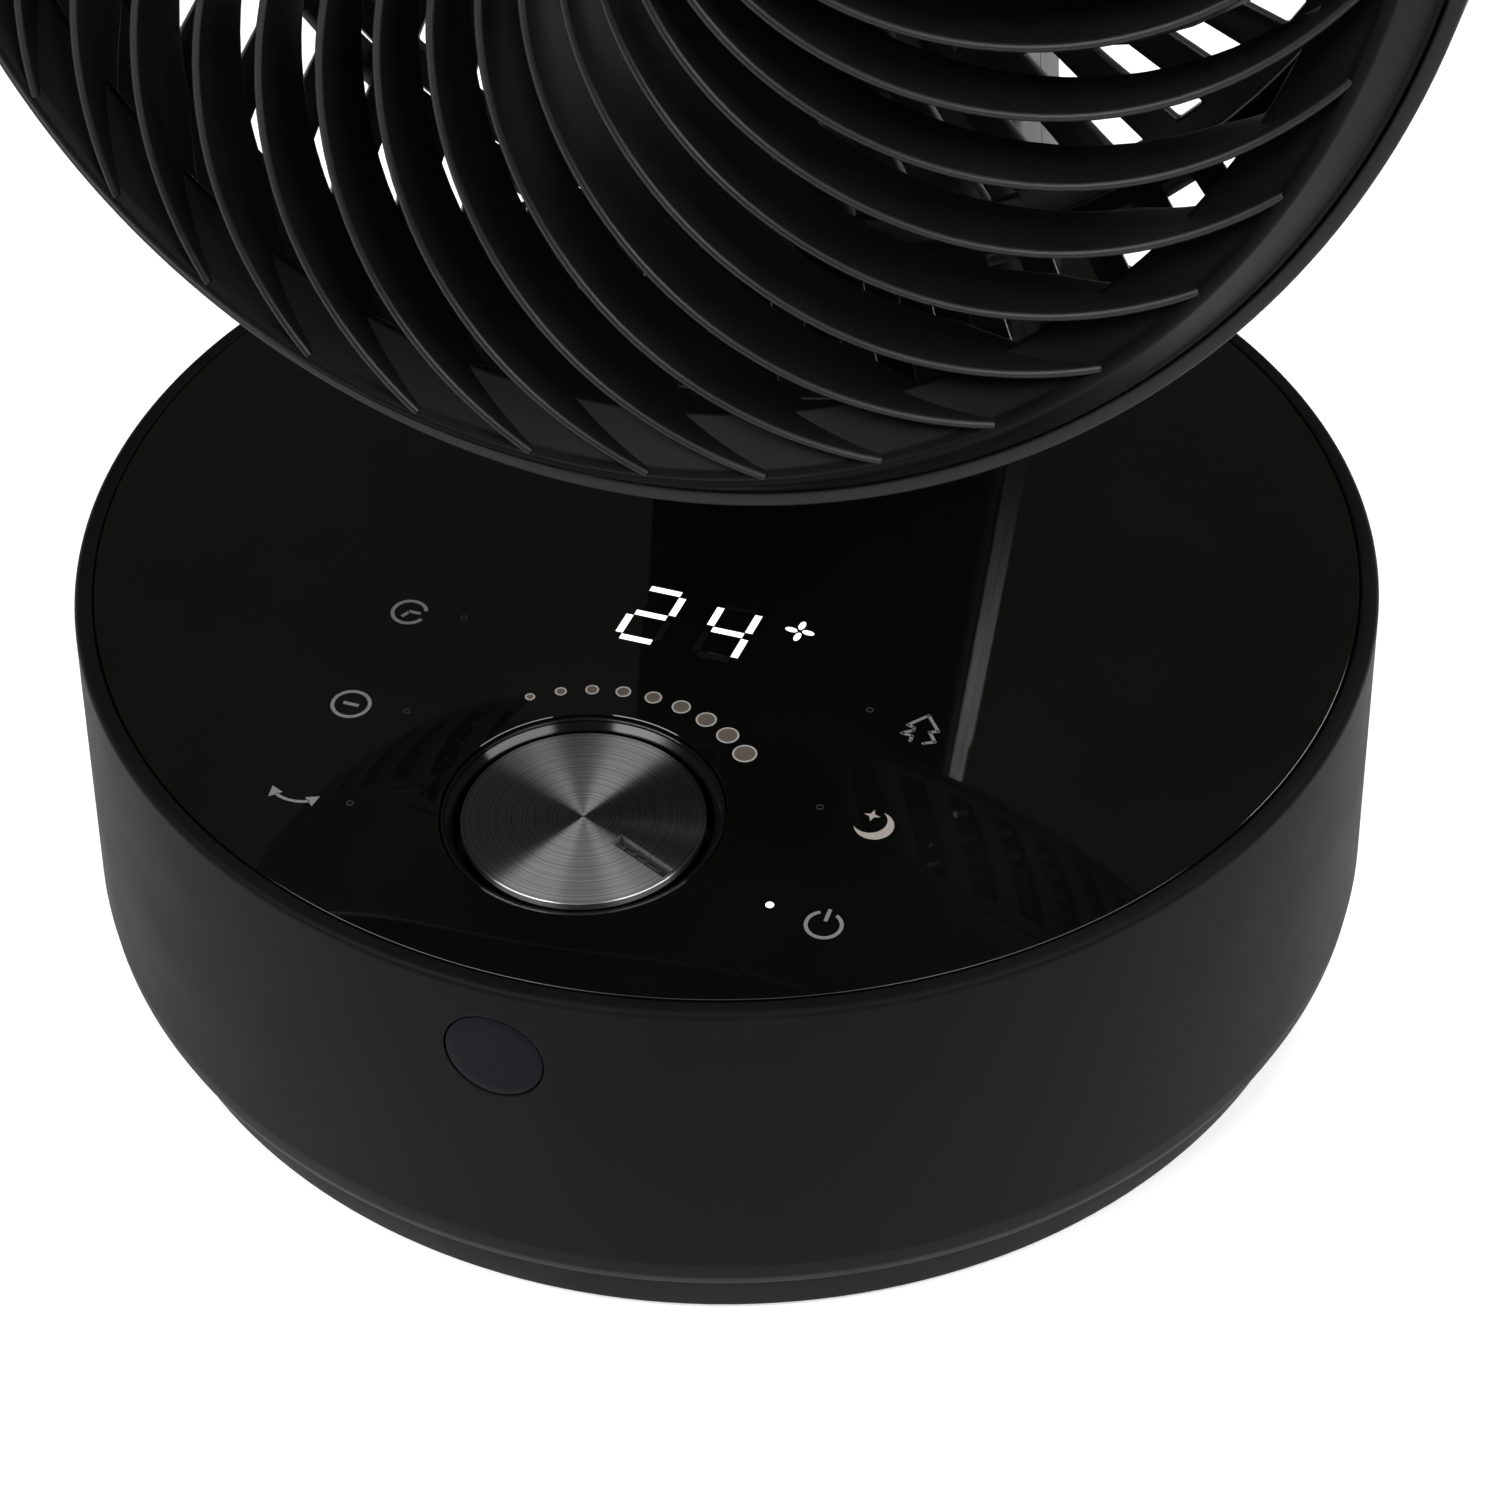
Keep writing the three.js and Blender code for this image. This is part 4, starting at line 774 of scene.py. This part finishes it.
# ---- Neck pieces ---------------------------------------------------------------------------------
def neck_half(name, side, node):
    full = outline_rounded(NECK_W, NECK_D, NECK_CORNER, 10)
    outer = [(x, y) for x, y in full if y * side >= 0.15]
    outer = sorted(outer, key=lambda p: math.atan2(p[1] * side, p[0]))
    outer = [(NECK_W / 2, 0.15 * side)] + outer + [(-NECK_W / 2, 0.15 * side)]
    wall = 2.5
    inner = [(x * (NECK_W - 2 * wall) / NECK_W, y * (NECK_D - 2 * wall) / NECK_D) for x, y in outer]
    inner[0] = (inner[0][0], 0.15 * side)
    inner[-1] = (inner[-1][0], 0.15 * side)
    loop = outer + inner[::-1]
    rows = [GLASS_TOP + 0.3, GLASS_TOP + 0.9, NECK_TOP - 0.6, NECK_TOP]
    verts = []
    for j, z in enumerate(rows):
        inset = 0.5 if j in (0, len(rows) - 1) else 0
        shift = NECK_Y - NECK_SLOPE * (z - GLASS_TOP)
        for k, (x, y) in enumerate(loop):
            grow = 1 - inset / (NECK_W / 2) if k < len(outer) else 1
            verts.append((x * grow * MM, (y * grow + shift) * MM, z * MM))
    obj = new_object(name, verts, skin(0, len(rows), len(loop)), None)
    outward(obj)
    smooth(obj, 30)
    place(obj, "drum", satin, [node])


# ---- Head pieces ---------------------------------------------------------------------------------
def sweep_at(r):
    x = r / TIP_R - 1
    return sum(f * x ** (k + 1) for k, f in enumerate(SWEEP))


def make_vanes():
    """Swirl vanes with rounded front edges, from the hub to the funnel of the ring."""
    radii = list(np.linspace(HUB_R - 3, 100, 26)) + list(np.linspace(102, TIP_R - 0.35, 14))
    verts, faces = [], []
    for v in range(VANES):
        base = len(verts)
        for r in radii:
            slope = (sweep_at(r + 0.05) - sweep_at(r - 0.05)) / 0.1
            along = Vector((1, r * slope)).normalized()
            across = Vector((-along.y, along.x))
            a = VANE_PHASE + 2 * math.pi * v / VANES + sweep_at(r)
            ca, sa = math.cos(a), math.sin(a)
            back = -VANE_DEPTH if r < 108 else -VANE_DEPTH + (r - 108) / (TIP_R - 108) * (VANE_DEPTH - 4.5)
            top = 0.0 if r > HUB_R else -0.6
            section = [(0, top), (0.35, top - 0.12), (0.65, top - 0.45), (VANE_HALF, top - 0.9),
                       (0.62, back), (-0.62, back), (-VANE_HALF, top - 0.9), (-0.65, top - 0.45),
                       (-0.35, top - 0.12)]
            for s, z in section:
                lx, ly = r + across.x * s, across.y * s
                verts.append(((lx * ca - ly * sa) * MM, (lx * sa + ly * ca) * MM, z * MM))
        faces += skin(base, len(radii), len(section))
    obj = new_object("vanes_look", verts, faces, None)
    outward(obj)
    smooth(obj, 50)
    place(obj, "head", vane_black, ["front_grille"], HEAD)


def make_ring():
    """Front ring: a rounded edge, a dark bevel band outside, and a shallow funnel inside."""
    profile = [(TIP_R - 0.3, 0.0), (TIP_R + 0.5, 0.0), (122.3, -0.5), (127.6, -10.4), (RING_R, -10.9),
               (RING_R, -13.0), (127.2, -13.2), (127.2, -20), (125, -20), (125, -11), (121, -4.4),
               (113.2, -9.6), (112, -8.4), (112.2, -7.2), (119.6, -1.6)]
    ring = lathe("ring_look", rounded(profile, 0.35, 3), 222, angle=28)
    place(ring, "head", ring_black, (), HEAD)
    hub = lathe("hub_look", rounded([(24, -0.5), (HUB_R, -0.5), (HUB_R, -VANE_DEPTH), (24, -VANE_DEPTH)], 0.6), 96)
    place(hub, "head", vane_black, (), HEAD)
    cap = lathe("cap_front_look", [(0, 2.5), (9, 2.35), (18, 1.9), (26, 1.2), (29.3, 0.6), (29.95, 0.25),
                                   (30, 0.0), (23.5, 0.0), (23.5, -8), (21.5, -8), (21.5, -0.2), (0, -0.2)],
                128, closed=False)
    place(cap, "head", satin, ["centre_cap"], HEAD)


def make_shroud():
    profile = [(128.55, -SHROUD_FRONT), (SHROUD_R, -SHROUD_FRONT), (SHROUD_R, -SHROUD_BACK),
               (128.55, -SHROUD_BACK), (128.55, -25), (127.5, -24), (127.5, -13.3), (128.5, -13.3)]
    shroud = lathe("shroud_look", rounded(profile, 0.5), 256, angle=28)
    place(shroud, "head", satin, ["shroud"], HEAD)


def guard_at(share, closed, half=0.5 * math.pi / GUARD_SLOTS):
    front = SHROUD_BACK + 0.3
    depth = front + share * (GUARD_BACK - front)
    radius = SHROUD_R + (GUARD_R - SHROUD_R) * share ** 1.6
    return {"outer": (radius, -depth), "inner": (radius - 2.6, -depth),
            "sweep": math.radians(0.17 * (GUARD_BACK - depth)), "half": half, "closed": closed}


def grille_at(r, depth, closed, thickness=3.0):
    return {"outer": (r, -depth + thickness), "inner": (r, -depth), "sweep": math.radians(0.17 * r),
            "half": 0.56 * math.pi / GRILLE_SLOTS, "closed": closed}


def make_rear():
    guard = [guard_at(0, True), guard_at(0.1, False), guard_at(0.3, False), guard_at(0.5, False),
             guard_at(0.7, False), guard_at(0.88, True), guard_at(1, False)]
    place(slotted("guard_look", guard, GUARD_SLOTS), "head", satin, ["rear_guard"], HEAD)
    rows = [grille_at(48.5, GRILLE_BACK, True), grille_at(52, GRILLE_BACK, False), grille_at(60, GRILLE_BACK, False),
            grille_at(70, GRILLE_BACK, False), grille_at(83, GRILLE_BACK, True), grille_at(88, GRILLE_BACK, False),
            grille_at(96, GRILLE_BACK, False), grille_at(103, 90.8, False), grille_at(111, 89.5, True),
            grille_at(115.4, 87.3, False)]
    rows[-1]["outer"] = (115.4, -84.3)
    rows[-1]["inner"] = (117, -86.4)
    place(slotted("grille_look", rows, GRILLE_SLOTS), "head", satin, ["rear_grille"], HEAD)
    cover = [(0, -95), (40, -95), (44.2, -94.6), (47.2, -92.8), (48.2, -90), (48.2, -60), (45.2, -60),
             (45.2, -90), (42, -92), (0, -92)]
    motor = lathe("motor_look", rounded(cover, 0.8), 128, closed=False)
    place(motor, "head", satin, ["motor_cover"], HEAD)


def make_blades():
    """Five wide blades with swept edges and an aerofoil section, on a domed hub."""
    verts, faces = [], []
    spans = np.linspace(0, 1, 14)
    chord = np.linspace(-1, 1, 13)
    for b in range(BLADES):
        turn = BLADE_PHASE + 2 * math.pi * b / BLADES
        base = len(verts)
        for s in spans:
            r = BLADE_ROOT_R + s * (BLADE_TIP_R - BLADE_ROOT_R)
            sweep = 0.55 * s * s
            half = 0.42 - 0.17 * s
            rise = (0.5 - 0.14 * s) * 23
            for face in (1, -1):
                for c in (chord if face == 1 else chord[::-1]):
                    thick = 1.15 * (1 - 0.8 * abs(c) ** 3)
                    trim = 1 - 0.12 * max(0, s - 0.85) / 0.15 * abs(c)
                    a = turn + sweep + c * half * trim
                    z = BLADE_MID_Z + c * rise + (1 - c * c) * 2 + face * thick
                    verts.append((r * math.cos(a) * MM, r * math.sin(a) * MM, z * MM))
        faces += skin(base, len(spans), 2 * len(chord))
    blades = new_object("blades_look", verts, faces, None)
    outward(blades)
    smooth(blades, 50)
    place(blades, "fan", dark, ["fan_blade"], HEAD)
    hub = lathe("blade_hub_look", rounded([(4.3, -34), (26, -34), (28, -36), (28, -56), (25.4, -56), (25.4, -36.6),
                                           (8.3, -36.6), (8.3, -56), (4.3, -56)], 0.8), 96)
    place(hub, "fan", dark, (), HEAD)


make_foot()
make_drum()
make_window()
make_glass()
make_well()
make_knob()
make_icons()
make_display()
neck_half("neck_front_look", -1, "neck_front_shell")
neck_half("neck_rear_look", 1, "neck_rear_shell")
make_vanes()
make_ring()
make_shroud()
make_rear()
make_blades()


# ---- Stage, lights and camera --------------------------------------------------------------------
def make_stage():
    floor = new_object("floor", [(-6, -6, 0), (6, -6, 0), (6, 6, 0), (-6, 6, 0)], [(0, 1, 2, 3)], None)
    mat, n, links, shader = material("floor_white", (0.86, 0.86, 0.86), 0.7, specular=0.2)
    out = n["Material Output"]
    path = n.new("ShaderNodeLightPath")
    seen = n.new("ShaderNodeMath")
    seen.operation = "MAXIMUM"
    links.new(path.outputs["Is Camera Ray"], seen.inputs[0])
    more = n.new("ShaderNodeMath")
    more.operation = "MAXIMUM"
    links.new(seen.outputs[0], more.inputs[0])
    links.new(path.outputs["Is Glossy Ray"], seen.inputs[1])
    links.new(path.outputs["Is Transmission Ray"], more.inputs[1])
    glow = n.new("ShaderNodeEmission")
    glow.inputs["Color"].default_value = (1, 1, 1, 1)
    strength = n.new("ShaderNodeMath")
    strength.operation = "MULTIPLY"
    strength.inputs[1].default_value = 0.42
    links.new(more.outputs[0], strength.inputs[0])
    links.new(strength.outputs[0], glow.inputs["Strength"])
    add = n.new("ShaderNodeAddShader")
    links.new(shader.outputs[0], add.inputs[0])
    links.new(glow.outputs[0], add.inputs[1])
    links.new(add.outputs[0], out.inputs["Surface"])
    dress(floor, mat)


def area_light(name, at, target, size, power):
    data = bpy.data.lights.new(name, "AREA")
    data.shape = "RECTANGLE"
    data.size, data.size_y = size
    data.energy = power
    obj = linked(name, data)
    obj.location = at
    obj.rotation_euler = (Vector(target) - Vector(at)).to_track_quat("-Z", "Y").to_euler()


def make_lights():
    world = bpy.data.worlds.new("studio")
    bpy.context.scene.world = world
    world.use_nodes = True
    back = world.node_tree.nodes["Background"]
    back.inputs["Color"].default_value = (1.0, 0.99, 0.93, 1)
    back.inputs["Strength"].default_value = 0.07
    area_light("key", (-0.98, -1.28, 1.78), (0, 0, 0.15), (1.8, 1.0), 50)
    area_light("fill", (1.48, -0.42, 1.7), (0, 0, 0.15), (1.8, 1.0), 36)
    area_light("top", (0.2, -0.3, 2.2), (0, 0, 0.1), (1.6, 1.2), 12)
    area_light("rim", (0.6, 1.7, 1.9), (0, 0, 0.15), (0.5, 0.5), 10)


def make_camera():
    azimuth = math.radians(18.74)
    down = math.radians(42.99)
    roll = math.radians(-0.56)
    right = Vector((1, 0, 0))
    up = Vector((0, math.sin(down), math.cos(down)))
    ahead = Vector((0, math.cos(down), -math.sin(down)))
    cam_right = math.cos(roll) * right + math.sin(roll) * up
    cam_up = -math.sin(roll) * right + math.cos(roll) * up
    turn = Matrix.Rotation(azimuth, 3, "Z")
    axes = [turn @ cam_right, turn @ cam_up, turn @ -ahead]
    data = bpy.data.cameras.new("camera")
    data.sensor_width = 36
    data.lens = 3470.3 / 1500 * 36
    data.clip_end = 50
    cam = linked("camera", data)
    rotation = Matrix(axes).transposed().to_4x4()
    place_at = Vector((170.8, -490.5, 428.3 + GLASS_TOP)) * MM
    cam.matrix_world = Matrix.Translation(place_at) @ rotation
    bpy.context.scene.camera = cam


make_stage()
make_lights()
make_camera()
bpy.context.scene.view_settings.view_transform = "Standard"
